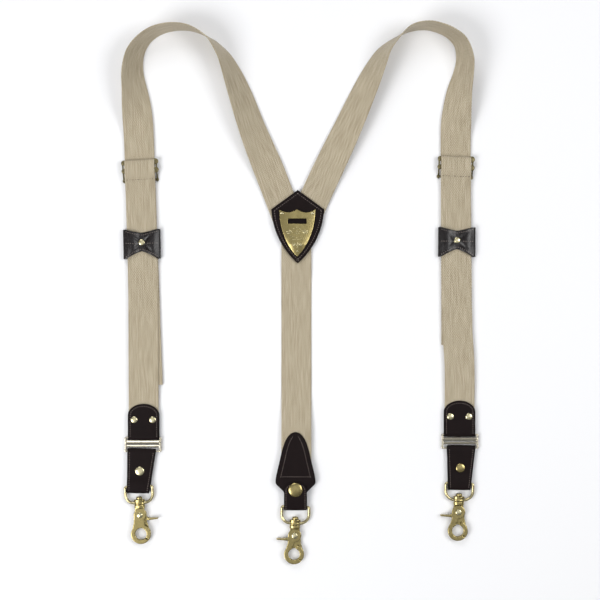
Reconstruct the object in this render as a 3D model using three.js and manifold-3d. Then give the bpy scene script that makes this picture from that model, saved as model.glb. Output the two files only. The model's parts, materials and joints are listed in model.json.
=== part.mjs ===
// Y-back suspenders laid out flat: two webbing shoulder straps that loop over and turn onto their other
// face on the way to a leather yoke, one back strap, and three swivel trigger hooks on leather ends.
// Millimetres. +X to the right, +Y towards the shoulder loops, +Z up from the surface they lie on.
import * as THREE from "three";
import { mergeVertices } from "three/addons/utils/BufferGeometryUtils.js";
import Module from "manifold-3d";

const wasm = await Module();
wasm.setup();

// ---------------------------------------------------------------- driving dimensions

const GAP = 0.3; // clearance between pieces that touch
const FAR = 60; // further than any small piece reaches, for drills and trims

// Overall lengths
const FRONT_LENGTH = 315.4; // from the slide's first bar to the connector's upper bar
const BACK_LENGTH = 279.6; // from the yoke's tip to the back D-loop's bar

// Webbing
const WEB_WIDTH = 35;
const WEB = 1.2; // thickness

// Leather
const SKIN = 1.4; // bends, tabs and keepers
const FACING = 1.2; // the flat pieces of the yoke and of the back end

// Heights of the layers in each stack, from the surface up
const FLOOR_CLEAR = 0.1;
const CLINCH = 0.6; // rivet heads on the underside

// Front adjuster: a three-bar slide
const SLIDE = {
  rail: 1.8,
  play: 0.8, // strap edge to rail
  bump: 2.6, // radius of the rounded ends of the bars
  bumpIn: 1.7, // their centres, in from the rail's outer face
  bar: 2.6,
  thick: 1.6,
  second: 8.8, // first bar to second bar
  third: 19.5, // first bar to third bar
};
const FOLD_TAIL = 21; // sewn length of the folded strap end

// Keeper round both straps
const KEEPER = { play: 2.6, length: 34, notchTop: 4, notchBottom: 8.6 };
const STUD = { cap: 3.6, high: 1.1, up: 2, shank: 1.2 };

// Front leather end, with two rivets
const END = {
  width: WEB_WIDTH + 1,
  length: 39,
  arch: 13,
  rivetUp: 20.9,
  rivetIn: 7.4, // from its side edge
  cap: 4,
  capHigh: 1.5,
  shank: 1.6,
  foot: 3,
};

// Connector between the leather end and the tab
const LINK = {
  play: 1, // leather end to rail
  pin: 1, // radius of the two hidden bars
  span: 15.6, // bar to bar
  broad: 4.2,
  narrow: 2.8,
  slit: 1,
  rail: 2,
  thick: 2.2,
  bump: 2.2,
  bumpIn: 1.6,
};
const LINK_WIDTH = END.width + 2 * (LINK.play + LINK.rail);

// Folded leather tab that carries a hook
const TAB = {
  play: 2.7, // to the connector's rails
  topPlay: 0.7, // the loose fold, above the connector's bar
  bottom: 25.6,
  drop: 40.7,
  toe: 6.7,
  snapDown: 22.4,
  snap: 5.3,
  snapHigh: 1.4,
  shank: 2,
  foot: 4,
};
const TAB_TOP = LINK_WIDTH - 2 * (LINK.rail + TAB.play);
const TAB_TURN = 0.25; // the share of a tab's swing that turns the whole tab

// Back end
const BACK_TAB = {
  width: 26.4,
  up: 29.2,
  rivetUp: 20.3,
  play: 0.6,
  cap: 8.3,
  capHigh: 2,
  shank: 2.2,
  foot: 5,
};

// D-loop
const LOOP = {
  wire: 1.5, // radius
  play: 0.9, // the wider tab's edge to the wire
  drop: 18.6,
  belly: 10,
  bossTop: 14.5,
  bossHigh: 5.8,
  bossHalf: 6.3,
  bossThick: 3.4,
};
const LOOP_HALF = Math.max(TAB.bottom, BACK_TAB.width) / 2 + LOOP.play + LOOP.wire; // to the wire's middle

// Swivel trigger hook
const HOOK = {
  mid: 3.9, // height of its middle plane
  plate: 2.35,
  boss: 7.3,
  disc: 7.7, // the trigger's
  discPlay: 0.4, // to the collar
  ring: 11.4,
  hole: 6.6,
  ringDrop: 21.6,
  stud: 2.2,
  head: 3.6,
  headHigh: 3.1,
  collar: 3.9,
  lever: 20.7,
  leverDrop: 4.7,
  leverHigh: 3.2,
  pin: 2,
  pinPlay: 0.1,
  pinHead: 3.6,
  pocket: 5.2, // the spring's, in the disc
};
const HOOK_REACH = LOOP.bossTop + LOOP.bossHigh + GAP + HOOK.collar + HOOK.discPlay + HOOK.disc; // bar to pivot

// Yoke
const YOKE = { x: 1.7, peak: 117, shoulder: 94.8, tip: 32.8, half: 30.4 };
const PLATE = { x: 1.1, top: 94.6, tip: 40.3, half: 20.8, thick: 1.2, slotWide: 21.3, slotHigh: 5.5 };
const PLATE_SLOT_Y = 81;
const PLATE_PIN = { cap: 1.5, high: 0.8, shank: 0.7 };

// Heights that follow from the stacks
const RUN_Z = SLIDE.thick + GAP + WEB / 2; // running strap over the slide's third bar
const OVER_Z = RUN_Z + WEB + GAP; // lower strap, over the running one
const BAR_Z = OVER_Z + WEB / 2 + GAP + SLIDE.thick / 2; // first and second bars
const FOLD_Z = BAR_Z + SLIDE.thick / 2 + GAP + WEB / 2; // strap over the bars
const BACK_SKIN_Z = FLOOR_CLEAR + CLINCH + GAP + SKIN / 2; // leather over a clinched rivet
const END_WEB_Z = BACK_SKIN_Z + SKIN / 2 + GAP + WEB / 2;
const END_SKIN_Z = END_WEB_Z + WEB / 2 + GAP + SKIN / 2;
const PIN_Z = 2.9; // the connector's bars
const PIN_BEND = LINK.pin + GAP + SKIN / 2; // leather round them, to its middle
const LAP_Z = BACK_SKIN_Z + SKIN + GAP;
const TAB_SKIN_Z = LAP_Z + SKIN + GAP;
const LOOP_BEND = LOOP.wire + GAP + SKIN / 2; // leather round the D-loop's bar
const BACK_LOW_Z = BACK_SKIN_Z + SKIN / 2 + GAP; // underside of the lower facing
const BACK_WEB_Z = BACK_LOW_Z + FACING + GAP + WEB / 2;
const BACK_HIGH_Z = BACK_WEB_Z + WEB / 2 + GAP;
const BACK_TOP_Z = BACK_HIGH_Z + FACING + GAP + SKIN / 2;
const YOKE_LOW_WEB = FACING + GAP + WEB / 2;
const YOKE_HIGH_WEB = YOKE_LOW_WEB + WEB + GAP;
const YOKE_FACE = YOKE_HIGH_WEB + WEB / 2 + GAP;
const PLATE_Z = YOKE_FACE + SKIN + GAP;

// Strap routes: [x, y, tilt in degrees, height of the lower edge]. The tilt runs from one face up (0),
// through standing on edge (90), to the other face up (180).
const EDGE = 0.8;
const LEFT_ROUTE = [
  [-174.3, -9, 0, RUN_Z],
  [-180, 152, 0, RUN_Z],
  [-181.3, 186.5, 3, RUN_Z],
  [-182.7, 209.5, 21, 1.8],
  [-184.5, 229, 38, 1.2],
  [-186.7, 251, 51, EDGE],
  [-183.6, 271.3, 62, EDGE],
  [-173.6, 286.8, 74, EDGE],
  [-159, 297, 81, EDGE],
  [-139.5, 301.6, 86, EDGE],
  [-119.8, 299.7, 91, EDGE],
  [-99.3, 289, 99, EDGE],
  [-88.6, 277.7, 109, EDGE],
  [-80.1, 265, 118.5, EDGE],
  [-66.5, 232.5, 137, EDGE],
  [-49.3, 184.3, 154.5, 1.4],
  [-28.8, 133.7, 177, YOKE_LOW_WEB],
  [-6.8, 76, 180, YOKE_LOW_WEB],
];
const RIGHT_ROUTE = [
  [183.6, 30, 0, RUN_Z],
  [183.2, 152, 0, RUN_Z],
  [183.2, 186.5, 4, RUN_Z],
  [184, 207.3, 24, 1.8],
  [186.4, 228.8, 39.5, 1.2],
  [190.8, 250.3, 54, EDGE],
  [192.1, 265.9, 62, EDGE],
  [187.4, 283.2, 72, EDGE],
  [178.6, 292.4, 78.5, EDGE],
  [166.6, 299, 82, EDGE],
  [149.6, 303, 84, EDGE],
  [131.6, 300.2, 88, EDGE],
  [118.5, 292.2, 97, EDGE],
  [103.7, 278.7, 111, EDGE],
  [95.3, 266.1, 123, EDGE],
  [80.1, 234.8, 141, EDGE],
  [57.9, 185.8, 158, 1.8],
  [30.8, 128.9, 178, YOKE_HIGH_WEB],
  [6.6, 76, 180, YOKE_HIGH_WEB],
];

// Where each front sits: slide, keeper, leather end, connector and tab, with the small turns in plan
// that the pieces have as they lie. bend lists [y, x] of the lower strap's middle line, between the
// slide and the end. tail is the running strap's cut end: x, and how far above the connector it stops.
const FRONTS = [
  {
    name: "left",
    route: LEFT_ROUTE,
    slide: [-179.9, 148],
    skew: 3.2,
    tail: [-170.7, 60.2],
    keeper: [-177.2, 54.9, 1.2],
    end: -175.3,
    link: -176,
    tab: -177.6,
    swing: -4.8,
    hookTurn: 3,
    flipped: true,
    bend: [[100, -178.3], [48, -176.7], [-10, -175.6]],
  },
  {
    name: "right",
    route: RIGHT_ROUTE,
    slide: [183.2, 151.7],
    skew: -2.2,
    tail: [184, 102.9],
    keeper: [184.3, 57.3, -0.5],
    end: 187.4,
    link: 188,
    tab: 189.2,
    swing: -2.6,
    hookTurn: -2.2,
    flipped: false,
    bend: [[90, 183.5], [30, 184], [-40, 184.9]],
  },
];
const BACK = { x: 0.1, loop: -0.9, hookTurn: -1.8, inYoke: 29.2, inEnd: 26.8 };
const BACK_LOOP_Y = YOKE.tip - BACK_LENGTH;
const endY = (front) => front.slide[1] - FRONT_LENGTH; // the connector's upper bar

// ---------------------------------------------------------------- finishes

const finish = (color, roughness, metalness) =>
  new THREE.MeshStandardMaterial({ color, roughness, metalness });
const WEBBING = finish(0xb8aa8e, 0.9, 0);
const LEATHER = finish(0x2a1f1d, 0.55, 0);
const ANTIQUE_BRASS = finish(0x9a8a55, 0.35, 1);
const PALE_BRASS = finish(0xd9cfa6, 0.25, 1);
const NICKEL = finish(0xd2cdbf, 0.22, 1);
const STEEL = finish(0x8b8b88, 0.4, 1);

// ---------------------------------------------------------------- solids

function toSolid(geometry) {
  const bare = geometry.clone();
  bare.deleteAttribute("normal");
  bare.deleteAttribute("uv");
  const merged = mergeVertices(bare, 1e-4);
  return new wasm.Manifold(
    new wasm.Mesh({
      numProp: 3,
      vertProperties: new Float32Array(merged.attributes.position.array),
      triVerts: new Uint32Array(merged.index.array),
    }),
  );
}

function toGeometry(solid) {
  const mesh = solid.getMesh();
  const geometry = new THREE.BufferGeometry();
  geometry.setAttribute("position", new THREE.BufferAttribute(mesh.vertProperties, 3));
  geometry.setIndex(new THREE.BufferAttribute(mesh.triVerts, 1));
  geometry.computeVertexNormals();
  return geometry;
}

const join = (...parts) => toGeometry(parts.map(toSolid).reduce((a, b) => a.add(b)));
const cut = (body, ...tools) => toGeometry(tools.map(toSolid).reduce((a, b) => a.subtract(b), toSolid(body)));
const common = (a, b) => toGeometry(toSolid(a).intersect(toSolid(b)));

const polygon = (points) => new THREE.Shape(points.map(([x, y]) => new THREE.Vector2(x, y)));

// A flat piece: an outline in plan, from z = low up.
const slab = (shape, low, thick, curveSegments = 8) =>
  new THREE.ExtrudeGeometry(shape, { depth: thick, bevelEnabled: false, curveSegments }).translate(0, 0, low);

const block = (x0, x1, y0, y1, z0, z1) =>
  new THREE.BoxGeometry(x1 - x0, y1 - y0, z1 - z0).translate((x0 + x1) / 2, (y0 + y1) / 2, (z0 + z1) / 2);

// A round bar along z.
const post = (x, y, radius, low, high, sides = 16) =>
  new THREE.CylinderGeometry(radius, radius, high - low, sides)
    .rotateX(Math.PI / 2)
    .translate(x, y, (low + high) / 2);

// A drill for a shank of this radius, with clearance.
const drill = (x, y, shank, sides = 12) => post(x, y, shank + GAP, -FAR, FAR, sides);

// The outward half of a round lobe on a side rail: side is 1 or -1, inner the rail's inner face.
function lobe(side, inner, centre, y, radius, low, high) {
  const spare = side > 0 ? [-FAR, inner] : [-inner, FAR];
  return cut(post(side * centre, y, radius, low, high, 12), block(...spare, y - FAR, y + FAR, low - 1, high + 1));
}

// A round bar along x.
const rod = (x0, x1, y, z, radius, sides = 10) =>
  new THREE.CylinderGeometry(radius, radius, x1 - x0, sides)
    .rotateZ(Math.PI / 2)
    .translate((x0 + x1) / 2, y, z);

// A rivet along z: a low domed cap, a shank and a flat head underneath.
function rivet(cap, capLow, capHigh, shank, foot, footLow, footHigh) {
  const shoulder = capLow + (capHigh - capLow) * 0.45;
  const profile = [
    [0, footLow],
    [foot, footLow],
    [foot, footHigh],
    [shank, footHigh],
    [shank, capLow],
    [cap, capLow],
    [cap, shoulder],
    [cap * 0.72, capHigh - (capHigh - shoulder) * 0.2],
    [0, capHigh],
  ].map(([r, z]) => new THREE.Vector2(r, z));
  return new THREE.LatheGeometry(profile, 10).rotateX(Math.PI / 2);
}

// A strip of even thickness that follows a path of [y, z] points, "wide" across in x.
function strip(path, thick, wide, samples) {
  const curve = new THREE.CatmullRomCurve3(
    path.map(([y, z]) => new THREE.Vector3(y, z, 0)),
    false,
    "centripetal",
  );
  const ahead = [];
  const behind = [];
  for (let i = 0; i <= samples; i++) {
    const p = curve.getPoint(i / samples);
    const t = curve.getTangent(i / samples);
    ahead.push([p.x - (t.y * thick) / 2, p.y + (t.x * thick) / 2]);
    behind.unshift([p.x + (t.y * thick) / 2, p.y - (t.x * thick) / 2]);
  }
  // The outline lies in (y, z); the extrusion runs along x.
  return slab(polygon([...ahead, ...behind]), -wide / 2, wide)
    .rotateX(Math.PI / 2)
    .rotateZ(Math.PI / 2);
}

// Moves every point by a rule, such as a bend or a taper.
function warp(geometry, rule) {
  const at = geometry.attributes.position;
  for (let i = 0; i < at.count; i++) at.setXYZ(i, ...rule(at.getX(i), at.getY(i), at.getZ(i)));
  geometry.computeVertexNormals();
  return geometry;
}

// Half a turn as [y, z] points, from below the axis to above it, bulging towards "side".
const turn = (y, z, radius, side, count = 5) =>
  Array.from({ length: count }, (_, i) => {
    const a = -Math.PI / 2 + (Math.PI * i) / (count - 1);
    return [y + side * radius * Math.cos(a), z + radius * Math.sin(a)];
  });

// A smooth run through rows of numbers: the first is where each row holds, the rest follow it.
function follow(rows, d) {
  let i = 0;
  while (i < rows.length - 2 && d > rows[i + 1][0]) i++;
  const slope = (k) => {
    const a = rows[Math.max(k - 1, 0)];
    const b = rows[Math.min(k + 1, rows.length - 1)];
    return a.map((_, n) => (b[n] - a[n]) / (b[0] - a[0]));
  };
  const [p, q] = [rows[i], rows[i + 1]];
  const [mp, mq] = [slope(i), slope(i + 1)];
  const h = q[0] - p[0];
  const t = Math.min(Math.max((d - p[0]) / h, 0), 1);
  return p.map(
    (_, n) =>
      (2 * t ** 3 - 3 * t ** 2 + 1) * p[n] +
      (t ** 3 - 2 * t ** 2 + t) * h * mp[n] +
      (3 * t ** 2 - 2 * t ** 3) * q[n] +
      (t ** 3 - t ** 2) * h * mq[n],
  );
}

// The middle line of a strap that tilts as it goes. The left edge, looking along it, rises when
// side = 1 and the right edge when side = -1.
class StrapPath extends THREE.Curve {
  constructor(route, side) {
    super();
    let run = 0;
    this.side = side;
    this.rows = route.map((row, i) => {
      if (i) run += Math.hypot(row[0] - route[i - 1][0], row[1] - route[i - 1][1]);
      return [run, ...row];
    });
    this.length = run;
  }

  place(t) {
    const [, x, y, tilt, low] = follow(this.rows, t * this.length);
    const angle = THREE.MathUtils.degToRad(tilt);
    return { angle, at: new THREE.Vector3(x, y, low + (WEB_WIDTH / 2) * Math.sin(angle)) };
  }

  getPoint(t, target = new THREE.Vector3()) {
    return target.copy(this.place(t).at);
  }

  computeFrenetFrames(steps) {
    const frames = { tangents: [], normals: [], binormals: [] };
    for (let i = 0; i <= steps; i++) {
      const t = this.getUtoTmapping(i / steps);
      const tangent = this.getTangent(t);
      const level = new THREE.Vector3(-tangent.y, tangent.x, 0).normalize().multiplyScalar(this.side);
      const rise = level.clone().cross(tangent).multiplyScalar(-this.side).normalize();
      const { angle } = this.place(t);
      const across = level.multiplyScalar(Math.cos(angle)).addScaledVector(rise, Math.sin(angle));
      frames.tangents.push(tangent);
      frames.normals.push(across);
      frames.binormals.push(tangent.clone().cross(across));
    }
    return frames;
  }
}

// ---------------------------------------------------------------- straps

// The webbing's section, with points across its faces so that a twist keeps its thickness.
function webSection() {
  const across = [-0.5, -0.25, 0, 0.25, 0.5].map((share) => share * WEB_WIDTH);
  const face = (xs, y) => xs.map((x) => [x, y]);
  return polygon([...face(across, -WEB / 2), ...face(across.toReversed(), WEB / 2)]);
}

function shoulderStrap(route, side) {
  return new THREE.ExtrudeGeometry(webSection(), {
    steps: 76,
    extrudePath: new StrapPath(route, side),
  });
}

// From under the yoke, along the surface, up into the back end's stack.
function backStrap() {
  const low = GAP + WEB / 2;
  const end = BACK_LOOP_Y + BACK.inEnd;
  const start = YOKE.tip + BACK.inYoke;
  return strip(
    [
      [end, BACK_WEB_Z],
      [end + 30, BACK_WEB_Z],
      [end + 62, BACK_WEB_Z],
      [end + 80, (BACK_WEB_Z + low) / 2],
      [end + 100, low + 0.2],
      [end + 120, low],
      [(end + start) / 2 + 30, low],
      [start - 52, low],
      [start - 34, YOKE_LOW_WEB - 0.1],
      [start, YOKE_LOW_WEB],
    ],
    WEB,
    WEB_WIDTH,
    30,
  ).translate(BACK.x, 0, 0);
}

const END_RIVETS = [-1, 1].map((side) => side * (END.width / 2 - END.rivetIn));

// Folded over the slide's first bar, over the running strap, and into the leather end.
function frontStrap(front) {
  const top = front.slide[1];
  const end = endY(front);
  const path = [
    [top - FOLD_TAIL, OVER_Z],
    [top - SLIDE.second, OVER_Z],
    ...turn(top + SLIDE.bar / 2, BAR_Z, FOLD_Z - BAR_Z, 1),
    [top - SLIDE.second - 2, FOLD_Z],
    [top - FOLD_TAIL - 1, OVER_Z + WEB + GAP],
    [top - FOLD_TAIL - 12, OVER_Z],
    ...[0.2, 0.35, 0.5, 0.66].map((share) => [top - share * FRONT_LENGTH, OVER_Z]),
    [end + END.length + 22, OVER_Z],
    [end + END.length + 2, END_WEB_Z],
    [end + END.rivetUp, END_WEB_Z],
    [end + LINK.pin + 4.2, END_WEB_Z],
  ];
  const skew = Math.tan(THREE.MathUtils.degToRad(front.skew));
  const line = [front.slide.toReversed(), ...front.bend, [end + 2 * END.length, front.end], [end, front.end]];
  const bend = line.map(([y, x]) => [top - y, x]);
  const strap = warp(strip(path, WEB, WEB_WIDTH, 56), (x, y, z) => {
    const held = THREE.MathUtils.smoothstep(y, top - 60, top - 24);
    return [x + follow(bend, top - y)[1], y + x * skew * held, z];
  });
  return cut(strap, ...END_RIVETS.map((x) => drill(front.end + x, end + END.rivetUp, END.shank)));
}

// ---------------------------------------------------------------- front hardware

// Three bars between two rails; the rails step down to the third bar, which runs under the strap.
function slideFrame() {
  const inner = WEB_WIDTH / 2 + SLIDE.play;
  const outer = inner + SLIDE.rail;
  const top = BAR_Z + SLIDE.thick / 2;
  const under = BAR_Z - SLIDE.thick / 2;
  const side = polygon([
    [SLIDE.bar / 2, under],
    [SLIDE.bar / 2, top],
    [-SLIDE.second - 1.5, top],
    [-SLIDE.third + 1, SLIDE.thick],
    [-SLIDE.third - SLIDE.bar / 2, SLIDE.thick],
    [-SLIDE.third - SLIDE.bar / 2, 0],
    [-SLIDE.third + 0.5, 0],
    [-SLIDE.second - 2.5, under],
  ]);
  const rail = (s) =>
    slab(side, (s * (inner + outer) - SLIDE.rail) / 2, SLIDE.rail)
      .rotateX(Math.PI / 2)
      .rotateZ(Math.PI / 2);
  const parts = [rail(1), rail(-1)];
  const bars = [
    [0, under, top],
    [-SLIDE.second, under, top],
    [-SLIDE.third, 0, SLIDE.thick],
  ];
  for (const [y, low, high] of bars) {
    parts.push(block(-outer, outer, y - SLIDE.bar / 2, y + SLIDE.bar / 2, low, high));
    for (const s of [-1, 1]) parts.push(lobe(s, inner, outer - SLIDE.bumpIn, y, SLIDE.bump, low, high));
  }
  return join(...parts);
}

// A leather sleeve whose front and back edges dip in the middle like a bow.
function keeperSleeve() {
  const half = WEB_WIDTH / 2 + KEEPER.play;
  const low = FLOOR_CLEAR;
  const high = OVER_Z + WEB / 2 + GAP + SKIN;
  const corner = 1.6;
  const ring = roundedBox(half + SKIN, low, high, corner + SKIN / 2);
  ring.holes.push(roundedBox(half, low + SKIN, high - SKIN, corner / 2));
  const sleeve = slab(ring, -KEEPER.length / 2, KEEPER.length, 3).rotateX(Math.PI / 2);
  const notch = (side, depth) => {
    const edge = (side * KEEPER.length) / 2;
    const points = Array.from({ length: 13 }, (_, i) => {
      const u = -1 + i / 6;
      return [u * (half - 2), edge - side * depth * (1 - Math.abs(u) ** 1.6)];
    });
    return slab(polygon([...points, [half, edge + side], [-half, edge + side]]), -1, high + 2);
  };
  const hole = post(0, STUD.up, STUD.shank + GAP, high - SKIN - 1, high + 2, 10);
  return cut(sleeve, notch(1, KEEPER.notchTop), notch(-1, KEEPER.notchBottom), hole);
}

// Outline in (x, z) of a box with rounded corners.
function roundedBox(half, low, high, r) {
  const s = new THREE.Shape();
  s.moveTo(-half + r, low);
  s.lineTo(half - r, low);
  s.absarc(half - r, low + r, r, -Math.PI / 2, 0, false);
  s.lineTo(half, high - r);
  s.absarc(half - r, high - r, r, 0, Math.PI / 2, false);
  s.lineTo(-half + r, high);
  s.absarc(-half + r, high - r, r, Math.PI / 2, Math.PI, false);
  s.lineTo(-half, low + r);
  s.absarc(-half + r, low + r, r, Math.PI, 1.5 * Math.PI, false);
  return s;
}

function keeperStud() {
  const top = OVER_Z + WEB / 2 + GAP + SKIN;
  const foot = top - SKIN + 0.1;
  return rivet(STUD.cap, top + 0.1, top + STUD.high, STUD.shank, STUD.shank, foot, foot + 0.1);
}

// One strip folded round the connector's upper bar, with an arched top, two layers over the strap's end.
function leatherEnd() {
  const path = [
    [END.length + 3, END_SKIN_Z],
    [20, END_SKIN_Z],
    [7, END_SKIN_Z],
    ...turn(0, PIN_Z, PIN_BEND, -1).reverse(),
    [7, BACK_SKIN_Z],
    [20, BACK_SKIN_Z],
    [END.length + 3, BACK_SKIN_Z],
  ];
  const half = END.width / 2;
  const outline = new THREE.Shape();
  outline.moveTo(-half, -9);
  outline.lineTo(half, -9);
  outline.lineTo(half, END.length - END.arch);
  outline.absellipse(0, END.length - END.arch, half, END.arch, 0, Math.PI, false, 0);
  outline.lineTo(-half, -9);
  const folded = common(strip(path, SKIN, END.width + 2, 30), slab(outline, -1, 12, 7));
  return cut(folded, ...END_RIVETS.map((x) => drill(x, END.rivetUp, END.shank)));
}

function endRivet() {
  const top = END_SKIN_Z + SKIN / 2;
  return rivet(END.cap, top + 0.1, top + END.capHigh, END.shank, END.foot, FLOOR_CLEAR, FLOOR_CLEAR + CLINCH);
}

// A ladder: a round bar, a broad bar, a slit, a narrow bar and a round bar, between scalloped rails.
function connector() {
  const half = LINK_WIDTH / 2;
  const inRails = [-half + LINK.rail / 2, half - LINK.rail / 2];
  const low = PIN_Z - LINK.thick / 2;
  const high = PIN_Z + LINK.thick / 2;
  const broadTop = -PIN_BEND - SKIN / 2 - GAP - 0.2;
  const broadFoot = broadTop - LINK.broad;
  const narrowTop = broadFoot - LINK.slit;
  const crown = (y1, y0, rise) => {
    const profile = polygon([[y0, low], [y1, low], [y1, high - 0.6], [(y0 + y1) / 2, high + rise], [y0, high - 0.6]]);
    return slab(profile, inRails[0], LINK_WIDTH - LINK.rail).rotateX(Math.PI / 2).rotateZ(Math.PI / 2);
  };
  const parts = [
    rod(...inRails, 0, PIN_Z, LINK.pin),
    rod(...inRails, -LINK.span, PIN_Z, LINK.pin),
    crown(broadTop, broadFoot, 0.3),
    crown(narrowTop, narrowTop - LINK.narrow, 0),
  ];
  for (const s of [-1, 1]) {
    const x = s * (half - LINK.rail / 2);
    parts.push(block(x - LINK.rail / 2, x + LINK.rail / 2, -LINK.span, 0, low, high));
    for (const y of [-1.2, -LINK.span + 1.2])
      parts.push(lobe(s, half - LINK.rail, half - LINK.bumpIn, y, LINK.bump, low, high));
  }
  return join(...parts);
}

// One strip: lapped behind the snap, round the connector's lower bar, down the front, round the D-loop's
// bar with room to spare, and back up. It narrows downwards, and most of its swing is a slant.
function tab(front) {
  const bar = -TAB.drop;
  const path = [
    [-TAB.snapDown - 7, LAP_Z],
    [-TAB.snapDown, LAP_Z],
    [-TAB.snapDown + 7, LAP_Z],
    [-7, PIN_Z - PIN_BEND + 0.5],
    ...turn(TAB.topPlay, PIN_Z, PIN_BEND, 1),
    [-7, PIN_Z + PIN_BEND + 0.1],
    [-TAB.snapDown + 7, TAB_SKIN_Z],
    [-TAB.snapDown, TAB_SKIN_Z],
    [-TAB.snapDown - 7, TAB_SKIN_Z],
    [bar + 4, HOOK.mid + LOOP_BEND - 0.1],
    ...turn(bar - TAB.toe + LOOP_BEND, HOOK.mid, LOOP_BEND, -1).reverse(),
    [bar + 4, HOOK.mid - LOOP_BEND + 0.1],
    [-TAB.snapDown - 7, BACK_SKIN_Z],
    [-TAB.snapDown, BACK_SKIN_Z],
    [-TAB.snapDown + 7, BACK_SKIN_Z],
  ];
  const slant = tabSlant(front);
  const folded = warp(strip(path, SKIN, 1, 46), (x, y, z) => {
    const down = THREE.MathUtils.clamp(-y / (TAB.drop + TAB.toe), 0, 1);
    return [x * THREE.MathUtils.lerp(TAB_TOP, TAB.bottom, down) - y * slant, y, z];
  });
  return cut(folded, drill(...snapPlace(front), TAB.shank));
}

const tabSlant = (front) => Math.tan(THREE.MathUtils.degToRad(front.swing * (1 - TAB_TURN)));
const snapPlace = (front) => [TAB.snapDown * tabSlant(front), -TAB.snapDown];

function tabSnap() {
  const top = TAB_SKIN_Z + SKIN / 2;
  return rivet(TAB.snap, top + 0.1, top + TAB.snapHigh, TAB.shank, TAB.foot, FLOOR_CLEAR, FLOOR_CLEAR + CLINCH);
}

// ---------------------------------------------------------------- hooks, about the D-loop's bar or the pivot

// A bent wire with a straight bar, and a boss that the hook's stud turns in.
function dLoop() {
  const path = new THREE.CurvePath();
  const v = (x, y) => new THREE.Vector3(x, y, 0);
  const half = LOOP_HALF;
  const { drop, belly } = LOOP;
  const arc = (cx, cy, from, to) => {
    const points = Array.from({ length: 7 }, (_, i) => {
      const a = from + ((to - from) * i) / 6;
      return v(cx + belly * Math.cos(a), cy + belly * Math.sin(a));
    });
    for (let i = 0; i < 6; i++) path.add(new THREE.LineCurve3(points[i], points[i + 1]));
  };
  path.add(new THREE.LineCurve3(v(-half, 0), v(-half, -drop + belly)));
  arc(-half + belly, -drop + belly, Math.PI, 1.5 * Math.PI);
  path.add(new THREE.LineCurve3(v(-half + belly, -drop), v(half - belly, -drop)));
  arc(half - belly, -drop + belly, 1.5 * Math.PI, 2 * Math.PI);
  path.add(new THREE.LineCurve3(v(half, -drop + belly), v(half, 0)));
  const wire = new THREE.Shape();
  wire.absarc(0, 0, LOOP.wire, 0, 2 * Math.PI, false);
  const bow = new THREE.ExtrudeGeometry(wire, { steps: 22, extrudePath: path, curveSegments: 4 });
  const bar = rod(-half - LOOP.wire, half + LOOP.wire, 0, 0, LOOP.wire);
  const bossFoot = -LOOP.bossTop - LOOP.bossHigh;
  const boss = new THREE.CylinderGeometry(1, 1, LOOP.bossHigh, 16)
    .scale(LOOP.bossHalf, 1, LOOP.bossThick)
    .translate(0, bossFoot + LOOP.bossHigh / 2, 0);
  const bore = new THREE.CylinderGeometry(HOOK.stud + GAP, HOOK.stud + GAP, 2 * LOOP.bossHigh, 12)
    .translate(0, bossFoot + LOOP.bossHigh / 2, 0);
  return cut(join(bow, bar, boss), bore);
}

// Part of the hook's ring, from one angle to another (degrees, anticlockwise), as a slab.
function ringSector(from, to, low, high) {
  const shape = new THREE.Shape();
  const [a, b] = [from, to].map(THREE.MathUtils.degToRad);
  shape.absarc(0, -HOOK.ringDrop, HOOK.ring, a, b, false);
  shape.absarc(0, -HOOK.ringDrop, HOOK.hole, b, a, true);
  return slab(shape, low, high - low, 7);
}

const pivotHole = () => post(0, 0, HOOK.pin + HOOK.pinPlay, -FAR, FAR, 10);

// Neck, boss and the jaw that comes down on the right; the stud turns in the D-loop's boss.
function hookBody() {
  const low = -GAP / 2 - HOOK.plate;
  const high = -GAP / 2;
  const bossTop = HOOK_REACH - LOOP.bossTop;
  const collarTop = bossTop - LOOP.bossHigh - GAP;
  const collarFoot = collarTop - HOOK.collar;
  const stud = new THREE.LatheGeometry(
    [
      [0, collarFoot],
      [HOOK.stud, collarFoot],
      [HOOK.stud, bossTop + GAP],
      [HOOK.head, bossTop + GAP],
      [HOOK.head, bossTop + GAP + HOOK.headHigh - 1],
      [HOOK.head - 1, bossTop + GAP + HOOK.headHigh],
      [0, bossTop + GAP + HOOK.headHigh],
    ].map(([r, y]) => new THREE.Vector2(r, y)),
    12,
  );
  const collar = new THREE.CylinderGeometry(1, 1, HOOK.collar, 16)
    .scale(LOOP.bossHalf - 0.2, 1, LOOP.bossThick)
    .translate(0, collarFoot + HOOK.collar / 2, 0);
  const neck = polygon([[-5, collarFoot + 1], [-6.2, 3], [6.2, 3], [5, collarFoot + 1]]);
  const shank = polygon([[-0.5, -5], [0.8, -12], [4.5, -14.5], [9.5, -15.5], [7.6, -9], [7, -2]]);
  const body = join(
    stud,
    collar,
    slab(neck, low, HOOK.plate),
    post(0, 0, HOOK.boss, low, high, 16),
    slab(shank, low, HOOK.plate),
    ringSector(-136, 72, low, high),
    ringSector(-38, 72, high - 0.01, high + GAP + HOOK.plate),
  );
  return cut(body, pivotHole());
}

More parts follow.
